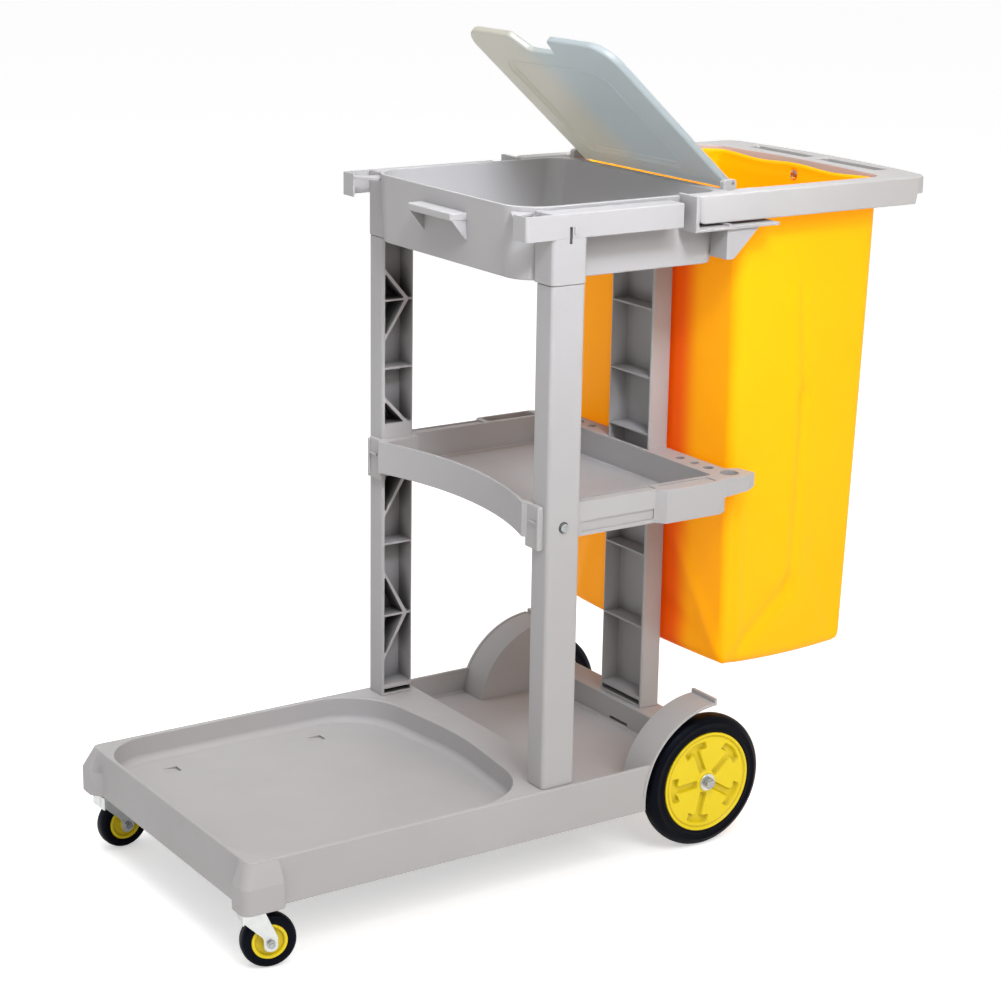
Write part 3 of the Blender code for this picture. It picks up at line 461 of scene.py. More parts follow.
deck = {
    "side": 0.245,
    "front": -0.553,
    "rear": 0.262,
    "skirtLow": 0.089,
    "top": 0.158,
    "floor": 0.120,
    "wall": 0.004,
    "bumperFront": -0.567,
    "bumperRear": -0.502,
    "bumperSide": 0.258,
    "bumperTop": 0.127,
    "axleX": 0.217,
    "axleZ": 0.1016,
    "archRadius": 0.130,
    "archInside": 0.188,
    "archSteps": 40,
    "bowRadius": 0.5,
    "stops": (-0.455, -0.214),      # X of the wedge-shaped stops
    "stopSide": 0.182,
}


def bumperOutline(side, front, rear, outer):
    corners = [(front, 0.2235, 0.006), (deck["front"] + 0.001, 0.206, 0), (rear, 0.206, 0.002),
               (rear, outer, 0.008), (front, outer, 0.014)]
    return roundedOutline([(x, side * y, r) for x, y, r in corners[::side]], 6)


def makeDeck():
    d = deck
    side, wall = d["side"], d["wall"]
    body = slab(roundedOutline([(d["front"], -side, 0.010), (d["rear"], -side, 0.006),
                                (d["rear"], side, 0.006),
                                (d["front"], side, 0.010)], 5), d["skirtLow"], d["top"], 0.0025, 3, 0.0008)
    bumpers, arches, removed = [], [], []
    for hand in (-1, 1):
        full = bumperOutline(hand, d["bumperFront"], d["bumperRear"], d["bumperSide"])
        drawnIn = bumperOutline(hand, d["front"] - 0.001, d["bumperRear"] - 0.003, side + 0.001)
        softer = grownOutline(full, -0.0012)
        bumpers.append(raised([(softer, d["skirtLow"] + 0.0003), (full, d["skirtLow"] + 0.0022),
                             (full, d["bumperTop"] - 0.002), (grownOutline(full, -0.0006), d["bumperTop"]),
                             (grownOutline(drawnIn, 0.0008), d["top"] - 0.0035),
                               (drawnIn, d["top"] - 0.0021)]))
        # the arch over the big wheel, with a proud lip where it ends over the axle
        arch = ([(d["axleX"] - d["archRadius"], d["skirtLow"] + 0.002)]
                + arcPoints(d["axleX"], d["axleZ"], d["archRadius"], 180, 92, d["archSteps"])
                + [(d["axleX"] - 0.0045, d["axleZ"] + d["archRadius"] + 0.006),
                   (d["axleX"], d["axleZ"] + d["archRadius"] + 0.006), (d["axleX"], d["skirtLow"] + 0.002)])
        arches.append(upright(arch, hand * d["archInside"], hand * (side - 0.0004), 0.0016))
        # a thin bead round the arch's outer edge
        bead = (arcPoints(d["axleX"], d["axleZ"], d["archRadius"] + 0.0012, 176, 93, d["archSteps"])
                + arcPoints(d["axleX"], d["axleZ"], d["archRadius"] - 0.0025, 93, 176, d["archSteps"]))
        arches.append(upright(bead, hand * (side - 0.004), hand * (side + 0.0012), 0.0008))
        # the well that the wheel turns in, open below and behind
        wellY = hand * (d["archInside"] + wall + 0.04)
        removed.append(roundBar((d["axleX"], wellY, d["axleZ"]), d["archRadius"] - wall, 0.08, "Y", 96))
        removed.append(block((d["axleX"], wellY - 0.04, 0.05), (d["rear"] + 0.02, wellY + 0.04, 0.30)))
        # the caster's pocket in the corner
        pocketY = hand * 0.2105
        removed.append(block((d["front"] + wall, pocketY - 0.0275, d["skirtLow"] - 0.02),
                             (d["front"] + 0.091, pocketY + 0.0275, 0.1045), 0.004))
        for x in d["stops"]:
            y = hand * d["stopSide"]
            outline = [(x - 0.012, y - 0.009), (x + 0.012, y - 0.009), (x + 0.012, y + 0.009),
                       (x - 0.012, y + 0.009)]
            wedge = raised([(outline, d["floor"] - 0.0001), (outline, d["floor"] + 0.01)])
            for v in wedge.verts:
                if v.co.z < d["floor"] and v.co.x > x:
                    v.co.z -= 0.0034
            removed.append(wedge)
    # the bucket's recess, with a bowed rear end, and the pan between the wheels
    recess = roundedOutline([(d["front"] + 0.006, -0.237, 0.075), (-0.098, -0.237, 0.105),
                             (-0.070, 0, d["bowRadius"]),
                             (-0.098, 0.237, 0.105), (d["front"] + 0.006, 0.237, 0.075)], 12)
    pan = roundedOutline([(-0.022, -0.239, 0.012), (0.214, -0.239, 0.006), (0.214, 0.239, 0.006),
                          (-0.022, 0.239, 0.012)], 4)
    floors = [pocket(recess, d["floor"], d["top"], 0.011, 0.002),
              pocket(pan, d["floor"], d["top"], 0.003, 0.0015)]
    # hollow underside
    inset = side - wall
    inner = d["archInside"] - wall
    removed.append(slab([(d["front"] + 0.090, -inset), (0.082, -inset), (0.082, -inner),
                         (d["rear"] - wall, -inner),
                         (d["rear"] - wall, inner), (0.082, inner), (0.082, inset),
                         (d["front"] + 0.090, inset)],
                        d["skirtLow"] - 0.02, d["floor"] - wall))
    removed.append(block((d["front"] + wall, -0.180, d["skirtLow"] - 0.02), (d["front"] + 0.0905, 0.180,
                                                                               d["floor"] - wall)))
    removed.append(block((0.222, -0.150, d["floor"] - 0.010), (0.254, 0.150, d["top"] - wall)))
    removed.append(block((-0.052, -0.170, d["floor"] - 0.010), (-0.027, 0.170, d["top"] - wall)))
    removed.append(block((0.2, -0.032, 0.1235), (0.2235, 0.014, 0.1285)))
    removed.append(roundBar((d["axleX"], 0, d["axleZ"]), 0.0061, 0.52, "Y"))
    floored = mould(body, bumpers, floors)
    return finishPiece(mould(floored, arches, removed), "cart_deck", deckPlastic, "cart",
                       ("base_platform",))


posts = {
    "x": (-0.0875, -0.033),
    "y": (0.1985, 0.239),
    "foot": 0.1583,
    "head": 0.8727,
    "wall": 0.004,
    "ribs": (0.288, 0.403, 0.676, 0.779),
    "rib": 0.0028,
    "bracePitch": 0.045,
    "cornerRound": 0.006,
    "rearX": (0.223, 0.2575),
    "rearY": 0.052,
    "screwX": -0.061,
    "screwZ": 0.538,
}


def makeFrontPost(word):
    p, hand = posts, sides[word]
    y0, y1 = acrossSide(hand, p["y"][0], p["y"][1])
    body = block((p["x"][0], y0, p["foot"]), (p["x"][1], y1, p["head"]), p["cornerRound"], 0.0012, "Z", 6)
    left, right = p["x"][0] + p["wall"], p["x"][1] - p["wall"]
    inner, outer = hand * (p["y"][0] - 0.001), hand * (p["y"][1] - p["wall"] * 1.25)
    spans = [(p["foot"] + 0.016, p["ribs"][0]), (p["ribs"][0], p["ribs"][1]), (p["ribs"][1], 0.512),
             (0.590, p["ribs"][2]), (p["ribs"][2], p["ribs"][3]), (p["ribs"][3], p["head"] - 0.003)]
    removed = []
    shift = p["rib"] * 1.2
    for number, (low, high) in enumerate(spans):
        bottom, top = low + p["rib"] / 2, high - p["rib"] / 2
        edge = right - 0.010
        if number % 2 == 0:       # the brace runs up towards the rear wall
            meet = bottom + p["bracePitch"]
            pockets = ([(left, meet + shift), (edge - shift, top), (left, top)],
                       [(left, bottom), (right, bottom), (right, top), (edge + shift, top),
                        (left, meet - shift)])
        else:
            meet = top - p["bracePitch"]
            pockets = ([(left, meet + shift), (edge + shift, bottom), (right, bottom), (right, top),
                        (left, top)],
                       [(left, bottom), (edge - shift, bottom), (left, meet - shift)])
        removed += [upright(roundedOutline([(x, z, 0.0012) for x, z in outline], 2), inner, outer)
                    for outline in pockets]
    removed.append(block((left, min(inner, outer), p["foot"] + 0.004),
                         (right, max(inner, outer), p["foot"] + 0.011)))
    removed.append(roundBar((p["screwX"], hand * 0.234, p["screwZ"]), 0.0032, 0.03, "Y"))
    groove = turned([(0.0066, -0.0028), (0.0079, -0.0028), (0.0082, 0.004), (0.0064, 0.004)], True, 32)
    removed.append(facing(groove, hand, (p["screwX"], hand * p["y"][1], p["screwZ"])))
    return finishPiece(mould(body, (), removed), f"cart_front_post_{word}", postPlastic, "cart",
                       (f"front_post_{word}",))


def makeRearPost():
    p = posts
    body = block((p["rearX"][0], -p["rearY"], p["foot"]), (p["rearX"][1], p["rearY"], p["head"]), 0.003,
                 0.0012, "Z", 4)
    edges = [p["foot"] + 0.016, p["ribs"][0], p["ribs"][1], 0.590, p["ribs"][2], p["ribs"][3],
             p["head"] - 0.003]
    inner = p["rearY"] - p["wall"]
    removed = [block((p["rearX"][0] - 0.005, -inner, low + p["rib"] / 2),
                     (p["rearX"][1] - p["wall"], inner, high - p["rib"] / 2), 0.0015, 0, "Z", 3)
               for low, high in zip(edges, edges[1:])]
    removed.append(block((p["rearX"][0] - 0.005, -inner, p["foot"] + 0.004),
                         (p["rearX"][1] - 0.006, inner, p["foot"] + 0.012)))
    return finishPiece(mould(body, (), removed), "cart_rear_post", deckPlastic, "cart",
                       ("rear_post",))


shelf = {
    "low": 0.519,
    "top": 0.568,
    "floor": 0.525,
    "front": -0.0935,
    "clipLow": 0.506,
    "clipTop": 0.567,
    "side": 0.2325,
    "holderSide": 0.245,
    "bowCentre": -0.610,
    "bowRadius": 0.546,
    "wall": 0.005,
    "toolHoles": ((0.2365, 0.111, 0.007), (0.2365, 0.144, 0.007), (0.2375, 0.176, 0.008),
                  (0.2460, 0.2140, 0.0135)),
}


def mirroredOutline(front, leftSide):
    return front + leftSide + [(x, -y) for x, y in reversed(leftSide)]


def makeShelf():
    s, gap = shelf, 0.0003
    bow = arcPoints(s["bowCentre"], 0, s["bowRadius"], -20.6, 20.6, 28)
    leftSide = [(s["front"], 0.198), (s["front"], 0.2270), (-0.060, 0.2270), (-0.060, s["side"]),
                (0.100, s["side"]),
                (0.111, s["holderSide"]), (0.207, s["holderSide"]), (0.222, 0.2365), (0.262, 0.240),
                (0.280, 0.230),
                (0.274, 0.200), (0.2565, 0.190)]
    outline = mirroredOutline(bow, leftSide)
    body = slab(outline, s["low"], s["top"], 0.0011, 2)
    added = []
    for hand in (-1, 1):
        y0, y1 = acrossSide(hand, 0.1935, 0.2275)
        added.append(block((s["front"] - 0.0001, y0, s["clipLow"]), (posts["x"][0] + 0.002, y1, s["clipTop"]),
                           0.001,
                           0.0012, "X", 2))
        y0, y1 = acrossSide(hand, 0.2235, 0.2280)
        added.append(block((s["front"] - 0.0030, y0, s["clipLow"] + 0.001),
                           (posts["x"][0] + 0.002, y1, s["clipTop"] - 0.001), 0.0012, 0.0006, "Z", 3))
        # a small rib across the clip
        y0, y1 = acrossSide(hand, 0.2035, 0.2275)
        added.append(block((s["front"] - 0.0025, y0, 0.5425), (posts["x"][0] + 0.002, y1, 0.5460), 0.0006,
                           0.0004))
    innerBow = arcPoints(s["bowCentre"], 0, s["bowRadius"] + s["wall"], -19.4, 19.4, 24)
    innerSide = [(-0.029, 0.190), (-0.029, 0.2085), (0.217, 0.2085)]
    removed = [pocket(mirroredOutline(innerBow, innerSide), s["floor"], s["top"], 0.0025, 0.0011)]
    # lighten the rear flange from below and leave a plate, thinner towards its edge, that holds tool handles
    underside = [(0.221, s["low"] - 0.01), (0.300, s["low"] - 0.01), (0.300, 0.548), (0.2825, 0.548),
                 (0.221, 0.540)]
    removed.append(upright(underside, -0.250, 0.250))
    # a shadow line under the lip of the side walls and round the holder blocks
    for hand in (-1, 1):
        y0, y1 = acrossSide(hand, s["side"] - 0.0022, s["side"] + 0.004)
        removed.append(block((-0.026, y0, s["low"] + 0.006), (0.0985, y1, 0.5400), 0.002, 0, "Y"))
        # a shallow groove along the rim of the side wall
        y0, y1 = acrossSide(hand, 0.2125, 0.2285)
        removed.append(block((-0.024, y0, s["top"] - 0.0018), (0.104, y1, s["top"] + 0.01), 0.003))
        for x, y, r in s["toolHoles"]:
            removed.append(roundBar((x, hand * y, 0.56), r, 0.06, "Z", 32))
        y0, y1 = acrossSide(hand, posts["y"][0] - gap, posts["y"][1] + gap)
        removed.append(block((posts["x"][0] - gap, y0, 0.45), (posts["x"][1] + gap, y1, 0.65),
                             posts["cornerRound"]))
    removed.append(block((posts["rearX"][0] - gap, -posts["rearY"] - gap, 0.45),
                         (posts["rearX"][1] + 0.02, posts["rearY"] + gap, 0.65)))
    # the far wall's holder is a slot open at the top
    removed.append(block((0.114, 0.2155, 0.545), (0.204, 0.2395, 0.60), 0.006, 0.0))
    removed.append(block((0.114, -0.2395, s["top"] - 0.0018), (0.204, -0.2155, 0.60), 0.006, 0.0))
    return finishPiece(mould(body, added, removed), "cart_shelf", deckPlastic, "cart",
                       ("middle_shelf",))


tray = {
    "low": 0.8733,
    "top": 0.973,
    "front": -0.112,
    "rear": 0.2415,
    "side": 0.203,
    "bandSide": 0.240,
    "bandLow": 0.935,
    "bandTop": 0.969,
    "bandRear": 0.128,
    "wall": 0.004,
    "lidHalf": 0.176,
    "hingeX": 0.252,
    "hingeZ": 0.981,
}


def tubOutline(x0, x1, half, frontRadius, rearRadius):
    return roundedOutline([(x0, -half, frontRadius), (x1, -half, rearRadius), (x1, half, rearRadius),
                           (x0, half, frontRadius)], 12)


def makeTray():
    t = tray
    outerLow = tubOutline(-0.106, 0.218, 0.199, 0.048, 0.024)
    outerTop = tubOutline(t["front"], t["rear"], t["side"], 0.052, 0.022)
    rise = [(grownOutline(outerLow, -0.003), t["low"]), (grownOutline(outerLow, -0.0008), t["low"] + 0.0009),
            (outerLow, t["low"] + 0.003), (outerTop, t["top"] - 0.0012),
            (grownOutline(outerTop, -0.0004), t["top"] - 0.0004),
            (grownOutline(outerTop, -0.0012), t["top"])]
    tub = raised(rise)
    added, removed = [], []
    for hand in (-1, 1):
        y0, y1 = acrossSide(hand, t["side"] - 0.009, t["bandSide"])
        added.append(block((-0.0885, y0, t["bandLow"]), (t["bandRear"], y1, t["bandTop"]), 0.003, 0.0015, "Z",
                           4))
        y0, y1 = acrossSide(hand, 0.193, t["bandSide"] - 0.0005)
        added.append(block((-0.0885, y0, t["low"] + 0.0001), (-0.0320, y1, t["bandTop"] - 0.002), 0.006,
                           0.001, "Z", 6))
        # the band runs on in front of the tub and turns in, and a thin lip ties it to the tub
        ear = roundedOutline([(-0.0850, hand * 0.2399, 0), (-0.1320, hand * 0.2399, 0.0040),
                              (-0.1320, hand * 0.208, 0.0008), (-0.1292, hand * 0.208, 0.0008),
                              (-0.1292, hand * 0.2371, 0.0012), (-0.0850, hand * 0.2371, 0)], 4)
        added.append(slab(ear, t["bandLow"] + 0.0001, t["bandTop"] - 0.0002, 0.0006, 2))
        lip = [(-0.1315, hand * 0.2100), (-0.1315, hand * 0.2060), (-0.1120, hand * 0.172),
               (-0.100, hand * 0.172),
               (-0.090, hand * 0.194), (-0.1295, hand * 0.2120)]
        added.append(slab(lip, 0.9620, 0.9660, 0.0006, 2))
        # cradle: an upright lip, a ledge, a small rib in the gap and a gusset under it
        y0, y1 = acrossSide(hand, t["side"] - 0.0035, 0.242)
        added.append(block((0.1465, y0, 0.9265), (0.1525, y1, 0.9765), 0.0012, 0.0008, "Z", 3))
        added.append(block((0.1495, y0 + 0.0001, 0.9268), (0.295, y1 - 0.0001, 0.9310), 0.001, 0.0006, "Z",
                           3))
        added.append(block((0.205, y0 + 0.0002, 0.9300), (0.209, y1 - 0.0002, 0.9346)))
        gusset = roundedOutline([(0.205, 0.884, 0.002), (0.218, 0.884, 0.004), (0.264, 0.9285, 0),
                                 (0.205, 0.9285, 0)], 4)
        added.append(upright(gusset, hand * 0.200, hand * 0.238, 0.0010))
        y0, y1 = acrossSide(hand, t["lidHalf"] + 0.001, t["lidHalf"] + 0.011)
        added.append(block((0.236, y0, 0.9655), (0.2590, y1, 0.9860), 0.005, 0.001, "Y", 6))
        # hollow behind the band, open below, and a channel between the band and the tub's rim
        y0, y1 = acrossSide(hand, t["side"] + 0.0080, t["bandSide"] - t["wall"])
        removed.append(block((-0.028, y0, t["bandLow"] - 0.01), (0.124, y1, t["bandTop"] - 0.004), 0.003))
        y0, y1 = acrossSide(hand, 0.2034, 0.2075)
        removed.append(block((-0.1000, y0, t["bandTop"] - 0.0060), (0.132, y1, t["top"] + 0.01), 0.0))
    added.append(block((0.2000, -0.0555, t["low"] + 0.0002), (0.2600, 0.0555, 0.933), 0.003, 0.0008))
    # handle across the front wall, with a web at each end
    grip = roundedOutline([(-0.106, -0.0620, 0), (-0.106, 0.0555, 0), (-0.1350, 0.0535, 0.004),
                           (-0.1350, -0.0600, 0.004)], 5)
    added.append(slab(grip, 0.9380, 0.9490, 0.0018, 3))
    for y in (-0.0585, 0.0520):
        added.append(upright([(-0.106, 0.906), (-0.106, 0.940), (-0.1335, 0.940)], y - 0.0015, y + 0.0015))
    # inside of the tub: filleted floor and a rounded rim
    innerLow = tubOutline(-0.1015, 0.2125, 0.1945, 0.044, 0.024)
    innerTop = tubOutline(-0.1085, 0.2215, 0.1955, 0.0485, 0.024)
    floor = t["low"] + t["wall"]
    cavity = raised([(grownOutline(innerLow, -0.005), floor),
                     (grownOutline(innerLow, -0.0015), floor + 0.0014),
                     (innerLow, floor + 0.005), (innerTop, t["top"] - 0.0012),
                     (grownOutline(innerTop, 0.0004), t["top"] - 0.0003),
                     (grownOutline(innerTop, 0.0013), t["top"] + 0.001)])
    removed.append(cavity)
    # slots along the left rim, and a slotted keeper on the right band beside the post
    for x0, x1 in ((-0.050, 0.040), (0.060, 0.080), (0.100, 0.122)):
        removed.append(block((x0, 0.213, t["bandTop"] - 0.012), (x1, 0.224, t["bandTop"] + 0.01), 0.003))
    added.append(block((-0.0555, -t["bandSide"] - 0.0020, 0.9410), (-0.0505, -t["bandSide"] + 0.004, 0.9510),
                       0.0014,
                       0.0008, "Z", 3))
    removed.append(block((-0.0625, -t["bandSide"] - 0.006, 0.9280), (-0.0575, -t["bandSide"] + 0.006, 0.9510),
                         0.001))
    removed.append(roundBar((t["hingeX"], 0, t["hingeZ"]), 0.0026, 0.5, "Y"))
    return finishPiece(mould(tub, added, removed), "cart_tray", deckPlastic, "cart",
                       ("top_tray",))


bagFrame = {
    "low": 0.935,
    "top": 0.975,
    "side": 0.230,
    "start": 0.163,
    "end": 0.603,
    "bowRadius": 1.41,
    "mouthX": (0.258, 0.534),
    "mouthY": 0.200,
}


def makeBagFrame():
    f = bagFrame
    bow = arcPoints(f["end"] - f["bowRadius"], 0, f["bowRadius"], -8.6, 8.6, 24)
    leftSide = ([(0.578, 0.225), (0.572, 0.2275), (0.562, f["side"])]
                + arcPoints(f["start"] + 0.008, f["side"] - 0.008, 0.008, 90, 180, 4) + [(f["start"], 0.2065),
                                                                                         (0.243, 0.2065)])
    body = slab(mirroredOutline(bow, leftSide), f["low"], f["top"], 0.0030, 4, 0.0018)
    mouth = roundedOutline([(f["mouthX"][0], -f["mouthY"], 0.030),
                            (f["mouthX"][1] - 0.010, -f["mouthY"], 0.030),
                            (f["mouthX"][1] + 0.004, 0, 1.0), (f["mouthX"][1] - 0.010, f["mouthY"], 0.030),
                            (f["mouthX"][0], f["mouthY"], 0.030)], 8)
    mouthCutter = raised([(mouth, f["low"] - 0.02), (mouth, f["top"] - 0.0030),
                          (grownOutline(mouth, 0.0007), f["top"] - 0.0010),
                          (grownOutline(mouth, 0.0025), f["top"] + 0.0001),
                          (grownOutline(mouth, 0.004), f["top"] + 0.01)])
    # the end rail is thinner than the sides, and its lower edge is chamfered
    step = raised([([(0.5560, -0.30), (0.640, -0.30), (0.640, 0.30), (0.5560, 0.30)], f["low"] - 0.02),
                   ([(0.5640, -0.30), (0.640, -0.30), (0.640, 0.30), (0.5640, 0.30)], 0.9500)])
    removed = [mouthCutter, step, block((0.2200, -0.2000, 0.9688), (0.2700, 0.2000, 1.0)),
               block((0.2300, -0.0565, 0.90), (0.2605, 0.0565, 0.9334))]
    for y0, y1 in ((0.012, 0.150), (-0.150, -0.012)):
        removed.append(pocket(rectangle(0.553, 0.577, y0, y1, 0.006, 6), 0.9600, f["top"], 0.004, 0.0012))
    # the lower front corners of the side rails are rounded off
    corner = [(f["start"] - 0.01, f["low"] - 0.01), (f["start"] + 0.010, f["low"] - 0.01)] + [
        (x, z) for x, z in arcPoints(f["start"] + 0.010, f["low"] + 0.010, 0.010, 270, 180, 8)] + [
        (f["start"] - 0.01, f["low"] + 0.010)]
    removed += [upright(corner, hand * 0.19, hand * 0.26) for hand in (-1, 1)]
    return finishPiece(mould(body, (), removed), "cart_bag_frame", railPlastic, "cart",
                       ("bag_frame",))


lid = {
    "tiltDegrees": 41.7,
    "hinge": (0.252, 0, 0.981),
    "half": 0.176,
    "heel": -0.0100,
    "free": 0.294,
    "thick": 0.011,
    "skin": 0.0035,
    "notchLow": 0.262,
    "panel": (0.024, 0.230, -0.108, 0.134),
}


def makeLid():
    # drawn with its lower face up and the hinge line at X = 0, then turned over and tilted open
    q = lid
    half, thick = q["half"], q["thick"] / 2
    outline = roundedOutline([(q["heel"], -half, 0.008), (q["free"], -half, 0.040),
                              (q["free"], -0.040, 0.007),
                              (q["notchLow"], -0.030, 0.012), (q["notchLow"], 0.034, 0.012),
                              (q["free"], 0.054, 0.007),
                              (q["free"], half, 0.040), (q["heel"], half, 0.008)], 10)
    body = slab(outline, -thick, thick, 0.0034, 4)
    panel = rectangle(*q["panel"], 0.025, 8)
    removed = [pocket(panel, thick - 0.0040, thick, 0.0010, 0.0012, 0.0070),
               slab(grownOutline(panel, -0.003), -0.02, thick - 0.0040 - q["skin"], 0.0010),
               roundBar((0, 0, 0), 0.0027, 0.5, "Y")]
    bm = mould(body, (), removed)
    bead = rectangle(q["panel"][0] - 0.004, q["panel"][1] + 0.004, q["panel"][2] - 0.004,
                     q["panel"][3] + 0.004, 0.028, 8)
    inner = grownOutline(bead, -0.0022)
    ridge = mould(bm, [mould(slab(bead, thick - 0.001, thick + 0.0007, 0.0005, 2), (),
                             [slab(inner, 0, 0.02)])])
    bmesh.ops.rotate(ridge, matrix=Matrix.Rotation(math.radians(180 + q["tiltDegrees"]), 3, "Y"),
                     verts=ridge.verts)
    bmesh.ops.translate(ridge, vec=q["hinge"], verts=ridge.verts)
    return finishPiece(ridge, "cart_lid", lidPlastic, "lid", ("lid",))


wheel = {
    "side": 0.211,
    "rimRadius": 0.076,
    "channels": 5,
    "firstDegrees": 112,
    "channelDepth": 0.0062,
    "face": 0.0162,
}


def channelOutline(degrees, grow=0.0):
    # a T: a stem along the spoke and a bar under the rim
    stem, low, bar, high, reach = 0.0058 + grow, 0.017 - grow, 0.0545 - grow, 0.0660 + grow, 0.0190 + grow
    corners = [(low, -stem, 0.002), (bar, -stem, 0.004), (bar - 0.005, -reach, 0.002),
               (high - 0.005, -reach, 0.002)]
    corners += [(high, 0, 0.03)] + [(x, -y, r) for x, y, r in reversed(corners)]
    turn = Matrix.Rotation(math.radians(degrees), 2)
    return [tuple(turn @ Vector(point)) for point in roundedOutline(corners, 4)]


def makeWheel(word):
    w, hand = wheel, sides[word]
    centre = (deck["axleX"], hand * w["side"], deck["axleZ"])
    rimOut, face = w["rimRadius"], w["face"]
    profile = [(0.0061, -0.017), (0.014, -0.017), (0.014, -0.005), (0.070, -0.005), (0.071, -0.0165),
               (0.0725, -0.017),
               (0.0755, -0.017), (rimOut, -0.0165), (rimOut, 0.0160), (0.0757, 0.0168), (0.0745, 0.0172),
               (0.0728, 0.0170), (0.0720, 0.0162), (0.0714, 0.0150), (0.0705, 0.0146),
               (0.0696, face - 0.0010),
               (0.0685, face - 0.0003), (0.055, face - 0.0008), (0.035, face - 0.0014),
               (0.0180, face - 0.0010),
               (0.0150, face), (0.0140, 0.0168), (0.0061, 0.0168)]
    cutters = []
    for k in range(w["channels"]):
        degrees = w["firstDegrees"] + 360 / w["channels"] * k
        cutters.append(raised([(channelOutline(degrees, -0.0026), face - w["channelDepth"]),
                               (channelOutline(degrees, -0.0018), face - w["channelDepth"] + 0.0004),
                               (channelOutline(degrees, 0.0004), face - 0.0012),
                               (channelOutline(degrees, 0.0014), face + 0.0002),
                               (channelOutline(degrees, 0.0022), face + 0.01)]))
    rim = facing(mould(turned(profile, True, 96), (), cutters), hand, centre)
    body = f"rear_wheel_{word}"
    finishPiece(rim, f"cart_rim_{word}", hubPlastic, body, (f"rear_rim_{word}",), 40)
    outer = [(0.0763, 0.0152), (0.0775, 0.0160), (0.0805, 0.0163), (0.0815, 0.0156), (0.0825, 0.0150),
             (0.0880, 0.0153),
             (0.0890, 0.0162), (0.0910, 0.0162), (0.0920, 0.0152), (0.0960, 0.0136), (0.0990, 0.0106),
             (0.1009, 0.0064),
             (0.1016, 0.0020)]
    tread = outer + [(radius, -height) for radius, height in reversed(outer)]
    finishPiece(facing(turned(tread, True, 128), hand, centre), f"cart_tyre_{word}", tyreRubber, body,
                (f"rear_tyre_{word}",), 50)
    washer = [(0.0064, 0.0174), (0.0128, 0.0174), (0.0130, 0.0177), (0.0130, 0.0190), (0.0126, 0.0193),
              (0.0064, 0.0193)]
    finishPiece(facing(turned(washer, True, 48), hand, centre), f"cart_washer_{word}", zincSteel, "cart",
                (f"axle_washer_{word}",))
    flats = [(0.0085 * math.cos(math.radians(60 * k + 10)), 0.0085 * math.sin(math.radians(60 * k + 10)))
             for k in range(6)]
    nut = raised([(grownOutline(flats, -0.0005), 0.0195), (flats, 0.0199), (flats, 0.0268),
                  (grownOutline(flats, -0.0010), 0.0276), (grownOutline(flats, -0.0034), 0.0285)])
    finishPiece(facing(mould(nut, (), [roundBar((0, 0, 0.019), 0.0062, 0.0128)]), hand, centre),
                f"cart_nut_{word}",
                steel, "cart", (f"axle_cap_nut_{word}",))


caster = {
    "pivotX": -0.5375,
    "pivotY": 0.224,
    "trail": 0.021,
    "radius": 0.038,
    "turnDegrees": {"left": 3.0, "right": -14.0},
    "crown": (0.0852, 0.0880),
    "legSide": 0.0172,
}


def makeCaster(word):
    c, hand = caster, sides[word]
    spin = Matrix.Rotation(math.radians(c["turnDegrees"][word]), 3, "Z")
    pivot = (c["pivotX"], hand * c["pivotY"], 0)

    def placed(bm):
        bmesh.ops.rotate(bm, matrix=spin, verts=bm.verts)
        bmesh.ops.translate(bm, vec=pivot, verts=bm.verts)
        return bm

    low, high = c["crown"]
    leg = roundedOutline([(-0.0155, high, 0.001), (0.0120, high, 0.004), (0.0305, 0.0470, 0.010),
                          (0.0310, 0.0268, 0.008),
                          (0.0120, 0.0268, 0.008), (0.0110, 0.0470, 0.010), (-0.0155, 0.0720, 0.002)], 5)
    side = c["legSide"]
    added = [upright(leg, y - 0.001, y + 0.001, 0.0005) for y in (-side, side)]
    added.append(block((-0.0165, -side - 0.0008, 0.0685), (-0.0143, side + 0.0008, high - 0.0002), 0.0008,
                       0.0004))
    # pressed ridge along the fold of the web
    added.append(block((-0.0172, -0.0060, 0.0700), (-0.0160, 0.0060, high - 0.0010), 0.0005, 0.0004))
    fork = mould(block((-0.0170, -side - 0.0009, low), (0.0190, side + 0.0009, high), 0.006, 0.0008), added,
                 [roundBar((0, 0, 0.0866), 0.0043, 0.02), roundBar((c["trail"], 0, c["radius"]), 0.0033, 0.06,
                                                                   "Y")])
    swivel = f"caster_swivel_{word}"
    finishPiece(placed(fork), f"cart_fork_{word}", zincSteel, swivel, (f"caster_fork_{word}",))
    centre = (c["trail"], 0, c["radius"])
    half = [(0.0249, 0.0108), (0.0262, 0.0115), (0.0330, 0.0113), (0.0355, 0.0100), (0.0372, 0.0075),
            (0.0380, 0.0035)]
    tyre = turned(half + [(radius, -height) for radius, height in reversed(half)], True, 72)
    rolling = f"caster_wheel_{word}"
    finishPiece(placed(facing(tyre, -1, centre)), f"cart_caster_tyre_{word}", tyreRubber, rolling,
                (f"caster_tyre_{word}",), 50)
    half = [(0.0035, 0.0144), (0.0086, 0.0144), (0.0090, 0.0140), (0.0096, 0.0085), (0.0110, 0.0074),
            (0.0180, 0.0072),
            (0.0192, 0.0080), (0.0200, 0.0102), (0.0208, 0.0111), (0.0240, 0.0112), (0.0246, 0.0106)]
    hub = turned(half + [(radius, -height) for radius, height in reversed(half)], True, 64)
    finishPiece(placed(facing(hub, -1, centre)), f"cart_caster_hub_{word}", hubPlastic, rolling,
                (f"caster_hub_{word}",), 50)


